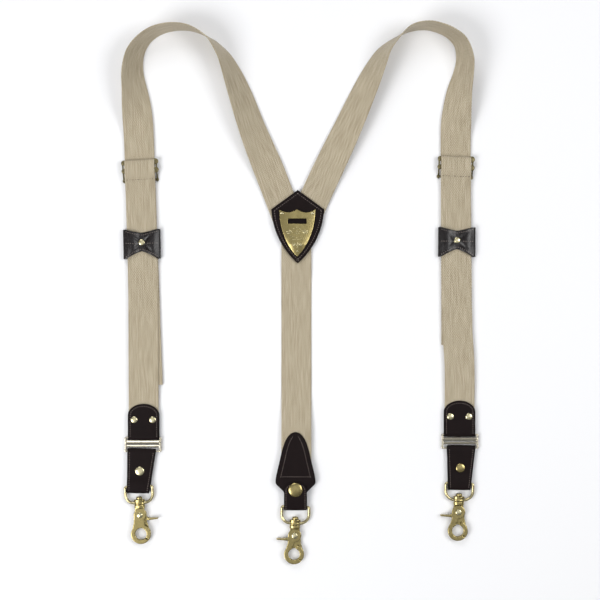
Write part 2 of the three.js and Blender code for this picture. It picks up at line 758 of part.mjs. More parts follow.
// Disc, thumb lever and the jaw that comes down on the left, in the front half of the thickness.
function trigger() {
  const low = GAP / 2;
  const high = GAP / 2 + HOOK.plate;
  const shank = polygon([[0.5, -5], [-0.8, -12], [-4.5, -14.5], [-9.5, -15.5], [-7.6, -9], [-7, -2]]);
  const root = polygon([[-5.5, -7], [-10.5, -5.8], [-10.5, -3.5], [-6.5, -1.5]]);
  const blade = polygon([
    [-9.2, -HOOK.leverDrop - 1.3],
    [-9.2, -HOOK.leverDrop + 1.3],
    [-HOOK.lever, -HOOK.leverDrop + 0.9],
    [-HOOK.lever, -HOOK.leverDrop - 0.4],
  ]);
  const body = join(
    post(0, 0, HOOK.disc, low, high, 16),
    slab(shank, low, HOOK.plate),
    slab(root, low, HOOK.plate),
    slab(blade, -HOOK.leverHigh, 2 * HOOK.leverHigh),
    ringSector(108, 318, low, high),
    ringSector(108, 218, -GAP / 2 - HOOK.plate, low + 0.01),
  );
  return cut(body, pivotHole(), post(0, 0, HOOK.pocket, -FAR, low + 1.5, 14));
}

function hookRivet() {
  const face = GAP / 2 + HOOK.plate;
  return rivet(HOOK.pinHead, face + 0.1, face + 1.3, HOOK.pin, HOOK.pinHead - 0.4, -face - 0.8, -face - 0.1);
}

// A flat torsion coil in the disc's pocket, open so that its two ends can bear on the plates.
function hookSpring() {
  const coil = new THREE.Shape();
  coil.absarc(0, 0, HOOK.pocket - 0.7, 0.3, 5.9, false);
  coil.absarc(0, 0, HOOK.pin + 1, 5.9, 0.3, true);
  return slab(coil, GAP / 2 + GAP, 0.9, 7);
}

// ---------------------------------------------------------------- yoke and back end

// A shield: a low peak, two shoulders, and sides that curve to a point.
function yokeOutline() {
  const { half, peak, shoulder, tip } = YOKE;
  const s = new THREE.Shape();
  s.moveTo(0, peak);
  s.lineTo(-half, shoulder);
  s.bezierCurveTo(-half + 1.5, shoulder - 28, -half * 0.47, tip + 12, 0, tip);
  s.bezierCurveTo(half * 0.47, tip + 12, half - 1.5, shoulder - 28, half, shoulder);
  s.lineTo(0, peak);
  return s;
}

// The same shield, smaller, with a scalloped top and a slot.
function plateOutline() {
  const { half, top, tip, slotWide, slotHigh } = PLATE;
  const s = new THREE.Shape();
  s.moveTo(0, top);
  s.quadraticCurveTo(-half / 2, top - 7, -half, top);
  s.bezierCurveTo(-half + 0.5, top - 26, -half * 0.5, tip + 10, 0, tip);
  s.bezierCurveTo(half * 0.5, tip + 10, half - 0.5, top - 26, half, top);
  s.quadraticCurveTo(half / 2, top - 7, 0, top);
  const slot = new THREE.Path();
  slot.moveTo(-slotWide / 2, PLATE_SLOT_Y - slotHigh / 2);
  slot.lineTo(-slotWide / 2, PLATE_SLOT_Y + slotHigh / 2);
  slot.lineTo(slotWide / 2, PLATE_SLOT_Y + slotHigh / 2);
  slot.lineTo(slotWide / 2, PLATE_SLOT_Y - slotHigh / 2);
  s.holes.push(slot);
  return s;
}

const PLATE_PINS = {
  left: [-PLATE.half + 3.2, PLATE.top - 4.6],
  right: [PLATE.half - 3.2, PLATE.top - 4.6],
  bottom: [0, PLATE.tip + 6.5],
};

function yokePlate() {
  const plate = slab(plateOutline(), PLATE_Z, PLATE.thick, 12);
  return cut(plate, ...Object.values(PLATE_PINS).map(([x, y]) => drill(x, y, PLATE_PIN.shank, 10)));
}

function yokeFront() {
  const front = slab(yokeOutline(), YOKE_FACE, SKIN, 14);
  const [aside, pins] = [PLATE.x - YOKE.x, Object.values(PLATE_PINS)];
  return cut(front, ...pins.map(([x, y]) => drill(x + aside, y, PLATE_PIN.shank, 10)));
}

function platePin() {
  const { cap, high, shank } = PLATE_PIN;
  const face = PLATE_Z + PLATE.thick;
  return rivet(cap, face + 0.05, face + high, shank, shank, YOKE_FACE, YOKE_FACE + 0.2);
}

// The back end's facing: height above the D-loop's bar and half-width, from the arched top to the
// narrow part under the tab.
const UNDER_TAB = BACK_TAB.width / 2 - 0.8;
const FACING_EDGE = [
  [86.1, 0],
  [84.2, 5.5],
  [78.2, 10.5],
  [66.3, 15],
  [52.8, 18.2],
  [41.8, 20.8],
  [31.8, 22.8],
  [26.8, 22.4],
  [22.3, UNDER_TAB + 5.6],
  [16.8, UNDER_TAB + 0.8],
  [10.8, UNDER_TAB],
];

function backFacing(low) {
  const right = FACING_EDGE.map(([y, x]) => [x, y]);
  const left = FACING_EDGE.slice(1).map(([y, x]) => [-x, y]);
  const facing = slab(polygon([...left.reverse(), ...right]), low, FACING);
  return cut(facing, drill(0, BACK_TAB.rivetUp, BACK_TAB.shank, 14));
}

// One strip over and under the back end, round the D-loop's bar, with a rounded end.
function backTab() {
  const path = [
    [BACK_TAB.up + 2, BACK_TOP_Z],
    [20, BACK_TOP_Z],
    [12, BACK_TOP_Z],
    [5, HOOK.mid + LOOP_BEND + 0.8],
    ...turn(-BACK_TAB.play, HOOK.mid, LOOP_BEND, -1).reverse(),
    [8, BACK_SKIN_Z],
    [20, BACK_SKIN_Z],
    [BACK_TAB.up + 2, BACK_SKIN_Z],
  ];
  const half = BACK_TAB.width / 2;
  const outline = new THREE.Shape();
  outline.moveTo(-half, -9);
  outline.lineTo(half, -9);
  outline.lineTo(half, BACK_TAB.up - half * 0.75);
  outline.absellipse(0, BACK_TAB.up - half * 0.75, half, half * 0.75, 0, Math.PI, false, 0);
  outline.lineTo(-half, -9);
  const folded = common(strip(path, SKIN, BACK_TAB.width + 2, 32), slab(outline, -1, 14, 6));
  return cut(folded, drill(0, BACK_TAB.rivetUp, BACK_TAB.shank, 14));
}

function backRivet() {
  const top = BACK_TOP_Z + SKIN / 2;
  const { cap, capHigh, shank, foot } = BACK_TAB;
  return rivet(cap, top + 0.1, top + capHigh, shank, foot, FLOOR_CLEAR, FLOOR_CLEAR + CLINCH);
}

// ---------------------------------------------------------------- assembly

const suspenders = new THREE.Group();

function add(group, name, geometry, material, at = [0, 0, 0]) {
  const mesh = new THREE.Mesh(geometry, material);
  mesh.name = name;
  mesh.position.set(...at);
  group.add(mesh);
  return mesh;
}

function place(parent, x, y, z = 0, degrees = 0) {
  const group = new THREE.Group();
  group.position.set(x, y, z);
  group.rotation.z = THREE.MathUtils.degToRad(degrees);
  parent.add(group);
  return group;
}

// The D-loop hangs from its bar at (x, y); a flipped hook shows its other side.
function addHook(name, x, y, degrees, flipped) {
  const loop = place(suspenders, x, y, HOOK.mid, degrees);
  add(loop, name + "_d_loop", dLoop(), ANTIQUE_BRASS);
  const hook = place(loop, 0, -HOOK_REACH);
  hook.rotation.y = flipped ? Math.PI : 0;
  add(hook, name + "_hook_body", hookBody(), ANTIQUE_BRASS);
  add(hook, name + "_hook_trigger", trigger(), ANTIQUE_BRASS);
  add(hook, name + "_hook_rivet", hookRivet(), PALE_BRASS);
  add(hook, name + "_hook_spring", hookSpring(), STEEL);
}

function addFront(front) {
  const n = front.name;
  const side = n === "left" ? 1 : -1;
  const end = endY(front);
  const route = [[front.tail[0], end + front.tail[1], 0, RUN_Z], ...front.route];
  add(suspenders, n + "_shoulder_strap", shoulderStrap(route, side), WEBBING);
  add(suspenders, n + "_front_strap", frontStrap(front), WEBBING);

  const slide = place(suspenders, ...front.slide, 0, front.skew);
  add(slide, n + "_slide", slideFrame(), NICKEL);

  const [kx, ky, keeperTurn] = front.keeper;
  const keeper = place(suspenders, kx, ky, 0, keeperTurn);
  add(keeper, n + "_keeper", keeperSleeve(), LEATHER);
  add(keeper, n + "_keeper_stud", keeperStud(), PALE_BRASS, [0, STUD.up, 0]);

  const leather = place(suspenders, front.end, end);
  add(leather, n + "_leather_end", leatherEnd(), LEATHER);
  const [inner, outer] = side > 0 ? END_RIVETS.toReversed() : END_RIVETS;
  add(leather, n + "_end_rivet_outer", endRivet(), PALE_BRASS, [outer, END.rivetUp, 0]);
  add(leather, n + "_end_rivet_inner", endRivet(), PALE_BRASS, [inner, END.rivetUp, 0]);

  const link = place(suspenders, front.link, end);
  add(link, n + "_connector", connector(), NICKEL);

  const hanging = place(suspenders, front.tab, end - LINK.span, 0, front.swing * TAB_TURN);
  add(hanging, n + "_tab", tab(front), LEATHER);
  add(hanging, n + "_tab_snap", tabSnap(), PALE_BRASS, [...snapPlace(front), 0]);

  const swing = THREE.MathUtils.degToRad(front.swing);
  const loopX = front.tab + TAB.drop * Math.sin(swing);
  const loopY = end - LINK.span - TAB.drop * Math.cos(swing);
  addHook(n, loopX, loopY, front.hookTurn, front.flipped);
}

function addBack() {
  add(suspenders, "back_strap", backStrap(), WEBBING);
  const end = place(suspenders, BACK.loop, BACK_LOOP_Y);
  add(end, "back_facing_front", backFacing(BACK_HIGH_Z), LEATHER);
  add(end, "back_facing_rear", backFacing(BACK_LOW_Z), LEATHER);
  add(end, "back_tab", backTab(), LEATHER);
  add(end, "back_rivet", backRivet(), ANTIQUE_BRASS, [0, BACK_TAB.rivetUp, 0]);
  addHook("back", BACK.loop, BACK_LOOP_Y, BACK.hookTurn, false);
}

function addYoke() {
  add(suspenders, "yoke_front", yokeFront(), LEATHER, [YOKE.x, 0, 0]);
  add(suspenders, "yoke_rear", slab(yokeOutline(), 0, FACING, 14), LEATHER, [YOKE.x, 0, 0]);
  add(suspenders, "yoke_plate", yokePlate(), ANTIQUE_BRASS, [PLATE.x, 0, 0]);
  for (const [where, [x, y]] of Object.entries(PLATE_PINS))
    add(suspenders, "plate_pin_" + where, platePin(), PALE_BRASS, [PLATE.x + x, y, 0]);
}

addYoke();
addBack();
FRONTS.forEach(addFront);

// The origin is the middle of the footprint, on the surface.
suspenders.updateMatrixWorld(true);
const bounds = new THREE.Box3().setFromObject(suspenders, true);
const middle = bounds.getCenter(new THREE.Vector3());
for (const child of suspenders.children) child.position.add(new THREE.Vector3(-middle.x, -middle.y, -bounds.min.z));

export default suspenders;
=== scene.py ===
"""Y-back suspenders laid out flat: webbing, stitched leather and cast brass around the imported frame.

Lengths in this file are millimetres, and become metres where a mesh is made.
"""

import json
import logging
import math
from dataclasses import dataclass, field
from enum import Enum
from typing import Callable, Iterable, Sequence

import bmesh
import bpy
import numpy as np
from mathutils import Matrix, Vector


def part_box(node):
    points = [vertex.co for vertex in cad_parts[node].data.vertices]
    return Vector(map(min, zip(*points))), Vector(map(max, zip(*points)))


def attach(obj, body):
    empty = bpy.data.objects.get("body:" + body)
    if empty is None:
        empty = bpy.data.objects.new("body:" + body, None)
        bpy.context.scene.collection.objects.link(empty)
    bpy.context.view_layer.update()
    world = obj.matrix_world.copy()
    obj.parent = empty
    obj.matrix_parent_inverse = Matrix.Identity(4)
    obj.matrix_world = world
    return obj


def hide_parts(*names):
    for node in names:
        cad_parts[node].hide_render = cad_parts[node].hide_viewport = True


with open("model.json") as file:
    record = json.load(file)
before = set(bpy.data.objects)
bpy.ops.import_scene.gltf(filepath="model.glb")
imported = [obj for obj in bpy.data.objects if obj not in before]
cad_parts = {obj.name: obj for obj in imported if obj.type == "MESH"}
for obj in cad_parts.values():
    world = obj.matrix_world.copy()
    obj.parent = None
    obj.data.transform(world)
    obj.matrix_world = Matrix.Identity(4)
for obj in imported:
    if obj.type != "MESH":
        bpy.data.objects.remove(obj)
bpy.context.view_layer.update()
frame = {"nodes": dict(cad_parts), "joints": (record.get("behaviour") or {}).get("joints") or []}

LOG = logging.getLogger("suspenders")
MM = 0.001
RIGHTWARD = np.array([1.0, 0.0, 0.0])
UPWARD = np.array([0.0, 1.0, 0.0])

# Heights and thicknesses of the stacks, as the frame has them.
GAP = 0.3
WEB_WIDTH = 35.0
WEB = 1.2
SKIN = 1.4
FACING = 1.2
CHEEK = 2.35  # the hook's body and its trigger, each side of their joint face
CAP_GAP = 0.15  # under a rivet's cap, so that it doesn't share the leather's face

# Places along a front and its leather, measured from its bars.
FRONT_LENGTH = 315.4
FOLD_SEAM = 19.0  # the seam below the slide
END_RIVET_UP = 20.9
SNAP_DOWN = 22.4
TAB_SLANT_SHARE = 0.75  # of a tab's swing; its hinge has the rest
SEAM_IN = 2.8  # a seam in from the leather's edge
YOKE_SEAM_IN = 3.4
BACK_SEAM_IN = 5.5
TAB_SEAM_IN = 2.6
BACK_TAB_SEAM_IN = 2.3
LOBE_OUT = 18.1  # the middles of the slide's end lobes
WING_RISE = 2.7  # how far the keeper's wings swell
KEEPER_PLAY = 2.6  # strap edge to keeper
STRAP_HOLD = 36.0  # over how long a stretch the slide turns the strap with it


class Slot(Enum):
    """The record's material slots."""

    WEBBING = "webbing"
    LEATHER = "leather"
    ANTIQUE = "antique_brass"
    PALE = "pale_brass"
    NICKEL = "nickel"
    STEEL = "spring_steel"


class Side(Enum):
    """Which front a piece belongs to; the value is the side that its tilting strap rises on."""

    LEFT = 1
    RIGHT = -1

    @property
    def prefix(self) -> str:
        """The start of the CAD names on this side."""
        return self.name.lower()


# ---------------------------------------------------------------- node trees


def linear(hex_code: str) -> tuple[float, float, float, float]:
    """Turns an sRGB hex value into linear RGBA.

    Args:
        hex_code: A colour such as "#b8aa8e".

    Returns:
        The linear colour with alpha 1.
    """
    channels = [int(hex_code[i:i + 2], 16) / 255 for i in (1, 3, 5)]
    return (*[c / 12.92 if c <= 0.04045 else ((c + 0.055) / 1.055) ** 2.4 for c in channels], 1.0)


def add_node(tree: bpy.types.NodeTree, kind: str, inputs: dict | None = None, **settings) -> bpy.types.Node:
    """Adds one node with its settings and links.

    Args:
        tree: The shader or geometry tree.
        kind: The node's type name.
        inputs: Socket name or index to a value, or to the output socket that feeds it.
        **settings: The node's own properties.

    Returns:
        The new node.
    """
    node = tree.nodes.new(kind)
    for name, value in settings.items():
        setattr(node, name, value)
    for key, value in (inputs or {}).items():
        if isinstance(value, bpy.types.NodeSocket):
            tree.links.new(value, node.inputs[key])
        else:
            node.inputs[key].default_value = value
    return node


def new_material(name: str) -> tuple[bpy.types.Material, bpy.types.NodeTree]:
    """Makes an empty node material.

    Args:
        name: The material's name.

    Returns:
        The material and its tree, with no nodes in it.
    """
    material = bpy.data.materials.new(name)
    material.use_nodes = True
    material.node_tree.nodes.clear()
    return material, material.node_tree


def finish_material(tree: bpy.types.NodeTree, shader: dict) -> None:
    """Adds the principled shader with these inputs and the output."""
    principled = add_node(tree, "ShaderNodeBsdfPrincipled", shader)
    add_node(tree, "ShaderNodeOutputMaterial", {"Surface": principled.outputs[0]})


def per_metre(millimetres: float) -> float:
    """A texture's scale for a feature of this size, on coordinates in metres."""
    return 1.0 / (millimetres * MM)


# ---------------------------------------------------------------- finishes


@dataclass(frozen=True)
class WovenCotton:
    """Plain-woven cotton webbing: dull, matt, with plump ribs across and slubs that run along."""

    name: str = "woven_cotton_webbing"
    yarn: str = "#aea188"
    shade: str = "#7b6f58"
    light: str = "#d5ccb6"
    pick: float = 1.7  # rib to rib along the strap, drawn a little coarse so that it shows
    end: float = 1.1  # warp yarn to warp yarn across it
    wander: float = 2.2  # how far a rib strays from straight, in radians of its own wave

    def make(self) -> bpy.types.Material:
        """Builds the material on the strap's own UV map, which is in metres.

        Returns:
            The material.
        """
        material, tree = new_material(self.name)
        uv = add_node(tree, "ShaderNodeUVMap", uv_map="cloth").outputs[0]
        parts = add_node(tree, "ShaderNodeSeparateXYZ", {0: uv})
        across = add_node(
            tree, "ShaderNodeMath", {0: parts.outputs[0], 1: math.pi * per_metre(self.end)},
            operation="MULTIPLY"
        ).outputs[0]
        along = add_node(
            tree, "ShaderNodeMath", {0: parts.outputs[1], 1: math.pi * per_metre(self.pick)},
            operation="MULTIPLY"
        ).outputs[0]
        wobble = add_node(
            tree, "ShaderNodeTexNoise", {"Vector": uv, "Scale": per_metre(3.0), "Detail": 2.0}
        ).outputs[0]
        wandering = add_node(
            tree, "ShaderNodeMath", {0: wobble, 1: self.wander, 2: along}, operation="MULTIPLY_ADD"
        ).outputs[0]
        ribs = add_node(tree, "ShaderNodeMath", {0: wandering}, operation="SINE").outputs[0]
        yarns = add_node(tree, "ShaderNodeMath", {0: across}, operation="SINE").outputs[0]
        weave = add_node(tree, "ShaderNodeMath", {0: yarns, 1: ribs}, operation="MULTIPLY").outputs[0]
        stretch = add_node(
            tree, "ShaderNodeMapping", {"Vector": uv, "Scale": (per_metre(1.3), per_metre(22.0), 1.0)}
        )
        slub = add_node(
            tree, "ShaderNodeTexNoise", {"Vector": stretch.outputs[0], "Scale": 1.0, "Detail": 3.0}
        ).outputs[0]
        fuzz = add_node(
            tree, "ShaderNodeTexNoise", {"Vector": uv, "Scale": per_metre(0.9), "Detail": 4.0}
        ).outputs[0]
        streaks = add_node(
            tree, "ShaderNodeMath", {0: slub, 1: 0.6, 2: 0.2}, operation="MULTIPLY_ADD"
        ).outputs[0]
        # The weave lightens the ribs' crests and darkens their troughs: painted shade on the weave, added to
        # the random tone of the slubs and fuzz.
        ribbed = add_node(
            tree, "ShaderNodeMath", {0: weave, 1: 0.13, 2: streaks}, operation="MULTIPLY_ADD"
        ).outputs[0]
        about_zero = add_node(tree, "ShaderNodeMath", {0: fuzz, 1: 0.5}, operation="SUBTRACT").outputs[0]
        tone = add_node(
            tree, "ShaderNodeMath", {0: about_zero, 1: 1.1, 2: ribbed}, operation="MULTIPLY_ADD"
        ).outputs[0]
        ramp = add_node(tree, "ShaderNodeValToRGB", {0: tone})
        stops = ramp.color_ramp.elements
        stops[0].position, stops[0].color = 0.2, linear(self.shade)
        stops[1].position, stops[1].color = 0.85, linear(self.light)
        stops.new(0.5).color = linear(self.yarn)
        height = add_node(
            tree, "ShaderNodeMath", {0: fuzz, 1: 0.8, 2: weave}, operation="MULTIPLY_ADD"
        ).outputs[0]
        bump = add_node(tree, "ShaderNodeBump", {"Height": height, "Strength": 0.42, "Distance": 0.00022})
        finish_material(tree, {
            "Base Color": ramp.outputs[0], "Roughness": 0.92, "Normal": bump.outputs[0],
            "Sheen Weight": 0.18, "Sheen Roughness": 0.5,
        })
        return material


@dataclass(frozen=True)
class WaxedLeather:
    """Vegetable-tanned leather, dyed near black, waxed: fine pores, a soft shine and burnished edges."""

    name: str = "waxed_leather"
    dye: str = "#120c0c"
    light: str = "#1d1414"
    rim: str = "#0e0909"
    roughness: float = 0.5
    shine: float = 0.08
    pore: float = 0.9

    def make(self) -> bpy.types.Material:
        """Builds the material on object coordinates and the strip's own edge attribute.

        Returns:
            The material.
        """
        material, tree = new_material(self.name)
        place = add_node(tree, "ShaderNodeTexCoord").outputs["Object"]
        cloud = add_node(
            tree, "ShaderNodeTexNoise", {"Vector": place, "Scale": per_metre(9.0), "Detail": 5.0}
        ).outputs[0]
        pores = add_node(tree, "ShaderNodeTexVoronoi", {"Vector": place, "Scale": per_metre(self.pore)},
                         feature="DISTANCE_TO_EDGE").outputs[0]
        grain = add_node(
            tree, "ShaderNodeTexNoise", {"Vector": place, "Scale": per_metre(0.5), "Detail": 3.0}
        ).outputs[0]
        rim = add_node(tree, "ShaderNodeAttribute", attribute_name="rim").outputs["Fac"]
        body = add_node(
            tree, "ShaderNodeMix", {0: cloud, 6: linear(self.dye), 7: linear(self.light)}, data_type="RGBA"
        )
        worn = add_node(
            tree, "ShaderNodeMix", {0: rim, 6: body.outputs[2], 7: linear(self.rim)}, data_type="RGBA"
        )
        creased = add_node(tree, "ShaderNodeMath", {0: pores, 1: 0.12}, operation="MINIMUM").outputs[0]
        height = add_node(
            tree, "ShaderNodeMath", {0: grain, 1: 0.05, 2: creased}, operation="MULTIPLY_ADD"
        ).outputs[0]
        bump = add_node(tree, "ShaderNodeBump", {"Height": height, "Strength": 0.4, "Distance": 0.0006})
        gloss = add_node(
            tree, "ShaderNodeMath", {0: cloud, 1: 0.25, 2: self.roughness - 0.12}, operation="MULTIPLY_ADD"
        ).outputs[0]
        finish_material(
            tree,
            {
                "Base Color": worn.outputs[2], "Roughness": gloss, "Normal": bump.outputs[0],
                "Specular IOR Level": self.shine,
            }
        )
        return material


@dataclass(frozen=True)
class PlatedMetal:
    """Cast and barrel-plated metal: bright on the rubbed high spots, duller and darker in the hollows."""

    name: str
    plate: str
    tarnish: str
    roughness: float
    patina: float  # how far the tarnish reaches, 0 to 1

    def make(self) -> bpy.types.Material:
        """Builds the material on object coordinates, with the wear following the shape's own edges.

        Returns:
            The material.
        """
        material, tree = new_material(self.name)
        place = add_node(tree, "ShaderNodeTexCoord").outputs["Object"]
        cloud = add_node(
            tree, "ShaderNodeTexNoise", {"Vector": place, "Scale": per_metre(4.0), "Detail": 6.0}
        ).outputs[0]
        speck = add_node(
            tree, "ShaderNodeTexNoise", {"Vector": place, "Scale": per_metre(0.7), "Detail": 2.0}
        ).outputs[0]
        edges = add_node(tree, "ShaderNodeNewGeometry").outputs["Pointiness"]
        hollow = add_node(
            tree, "ShaderNodeMapRange", {0: edges, 1: 0.40, 2: 0.54, 3: 1.0, 4: 0.0}
        ).outputs[0]
        dirt = add_node(
            tree, "ShaderNodeMath", {0: cloud, 1: 0.9, 2: hollow}, operation="MULTIPLY_ADD"
        ).outputs[0]
        mask = add_node(tree, "ShaderNodeMath", {0: dirt, 1: self.patina}, operation="MULTIPLY").outputs[0]
        tint = add_node(
            tree, "ShaderNodeMix", {0: mask, 6: linear(self.plate), 7: linear(self.tarnish)},
            data_type="RGBA"
        )
        gloss = add_node(
            tree, "ShaderNodeMath", {0: mask, 1: 0.28, 2: self.roughness}, operation="MULTIPLY_ADD"
        ).outputs[0]
        bump = add_node(tree, "ShaderNodeBump", {"Height": speck, "Strength": 0.12, "Distance": 0.00015})
        finish_material(tree, {
            "Base Color": tint.outputs[2], "Metallic": 1.0, "Roughness": gloss, "Normal": bump.outputs[0],
        })
        return material


@dataclass(frozen=True)
class SewingThread:
    """Waxed polyester thread, laid in short hard stitches."""

    name: str
    colour: str

    def make(self) -> bpy.types.Material:
        """Builds the material, with a twist that shows as fine bands.

        Returns:
            The material.
        """
        material, tree = new_material(self.name)
        place = add_node(tree, "ShaderNodeTexCoord").outputs["Object"]
        twist = add_node(
            tree, "ShaderNodeTexNoise", {"Vector": place, "Scale": per_metre(0.6), "Detail": 2.0}
        ).outputs[0]
        tint = add_node(
            tree, "ShaderNodeMix", {0: twist, 6: linear(self.colour), 7: linear("#5a4e4a")}, data_type="RGBA"
        )
        finish_material(tree, {"Base Color": tint.outputs[2], "Roughness": 0.65})
        return material


@dataclass(frozen=True)
class StudioPaper:
    """Seamless white background paper: matt, with hardly any tooth."""

    name: str = "background_paper"
    tone: str = "#f4f4f5"

    def make(self) -> bpy.types.Material:
        """Builds the material with a faint tooth.

        Returns:
            The material.
        """
        material, tree = new_material(self.name)
        place = add_node(tree, "ShaderNodeTexCoord").outputs["Object"]
        tooth = add_node(tree, "ShaderNodeTexNoise", {"Vector": place, "Scale": per_metre(2.0)}).outputs[0]
        bump = add_node(tree, "ShaderNodeBump", {"Height": tooth, "Strength": 0.03, "Distance": 0.0002})
        finish_material(
            tree, {"Base Color": linear(self.tone), "Roughness": 0.95, "Normal": bump.outputs[0]}
        )
        return material


@dataclass(frozen=True)
class Finishes:
    """Every material of the object, made once."""

    webbing: bpy.types.Material
    leather: bpy.types.Material
    keeper_leather: bpy.types.Material
    antique: bpy.types.Material
    pale: bpy.types.Material
    nickel: bpy.types.Material
    steel: bpy.types.Material
    gilt: bpy.types.Material
    dull: bpy.types.Material
    thread: bpy.types.Material
    strap_thread: bpy.types.Material

    @classmethod
    def make(cls) -> "Finishes":
        """Builds each finish.

        Returns:
            The finishes.
        """
        return cls(
            webbing=WovenCotton().make(), leather=WaxedLeather().make(),
            keeper_leather=WaxedLeather(
                name="polished_leather", dye="#0f0b0b", light="#1a1414", roughness=0.24, shine=0.42
            ).make(),
            antique=PlatedMetal("antique_brass_plate", "#c6b57c", "#4f4628", 0.16, 0.6).make(),
            pale=PlatedMetal("pale_brass_cap", "#e2dab4", "#9c9064", 0.2, 0.35).make(),
            nickel=PlatedMetal("warm_nickel_plate", "#d9d2bf", "#857a60", 0.18, 0.4).make(),
            steel=PlatedMetal("spring_steel_wire", "#8f8f8c", "#55534e", 0.35, 0.4).make(),
            gilt=PlatedMetal("gilt_wire", "#dccfa2", "#6e6340", 0.16, 0.6).make(),
            # The slides get a darker, more tarnished copy of the plating than the connector, though the
            # record has both as nickel: partly tarnish, partly painted shade for slides that lie under the
            # strap's fold.
            dull=PlatedMetal("dull_brass_plate", "#9a8f6a", "#3c3623", 0.3, 0.95).make(),
            thread=SewingThread("waxed_thread", "#b5a79e").make(),
            strap_thread=SewingThread("strap_thread", "#57492f").make(),
        )


# ---------------------------------------------------------------- meshes


@dataclass
class Shape:
    """A mesh before it is a piece: points in millimetres, faces, and what its finish reads."""

    points: np.ndarray
    faces: list[tuple[int, ...]]
    cloth: np.ndarray | None = None  # across and along, one pair for each point
    rim: np.ndarray | None = None  # 1 at a cut edge, 0 away from it

    def moved(self, rule: Callable[[np.ndarray], np.ndarray]) -> "Shape":
        """The same shape with its points put through a rule."""
        return Shape(rule(self.points), self.faces, self.cloth, self.rim)


def joined(shapes: Iterable[Shape]) -> Shape:
    """Puts several shapes into one mesh, each still closed by itself.

    Args:
        shapes: The shapes to gather.

    Returns:
        One shape with no cloth or rim values.
    """
    points, faces, start = [], [], 0
    for shape in shapes:
        points.append(shape.points)
        faces += [tuple(i + start for i in f) for f in shape.faces]
        start += len(shape.points)
    return Shape(np.vstack(points), faces)


def mesh_of(name: str, shape: Shape) -> bpy.types.Mesh:
    """Makes a smooth-shaded mesh, in metres, that faces outwards.

    Args:
        name: The mesh's name.
        shape: What to make.

    Returns:
        The mesh.
    """
    mesh = bpy.data.meshes.new(name)
    mesh.from_pydata((shape.points * MM).tolist(), [], shape.faces)
    if shape.rim is not None:
        mesh.attributes.new("rim", "FLOAT", "POINT").data.foreach_set("value", shape.rim.astype(np.float32))
    if shape.cloth is not None:
        corners = np.empty(len(mesh.loops), np.int32)
        mesh.loops.foreach_get("vertex_index", corners)
        layer = mesh.uv_layers.new(name="cloth")
        layer.data.foreach_set("uv", (shape.cloth * MM)[corners].astype(np.float32).ravel())
    work = bmesh.new()
    work.from_mesh(mesh)
    bmesh.ops.recalc_face_normals(work, faces=work.faces)
    work.to_mesh(mesh)
    work.free()
    mesh.shade_smooth()
    return mesh


def add_piece(
    name: str, mesh: bpy.types.Mesh, finish: bpy.types.Material, body: str, slot: Slot | None,
    *stands_for: str
) -> bpy.types.Object:
    """Puts a finished mesh in the scene as a piece of the object.

    Args:
        name: The piece's name.
        mesh: Its mesh, in the frame's own place.
        finish: Its material.
        body: The CAD body that it rides on.
        slot: The record's slot that its finish belongs to, or None for thread; not used.
        *stands_for: The CAD nodes that it replaces.

    Returns:
        The piece.
    """
    piece = bpy.data.objects.new(name, mesh)
    bpy.context.scene.collection.objects.link(piece)
    mesh.materials.clear()
    mesh.materials.append(finish)
    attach(piece, body)
    if stands_for:
        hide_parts(*stands_for)
    LOG.info("%s: %d faces on %s", name, len(mesh.polygons), body)
    return piece


def travel(line: np.ndarray) -> np.ndarray:
    """Distance along a line at each of its points."""
    return np.concatenate([[0.0], np.cumsum(np.linalg.norm(np.diff(line, axis=0), axis=1))])


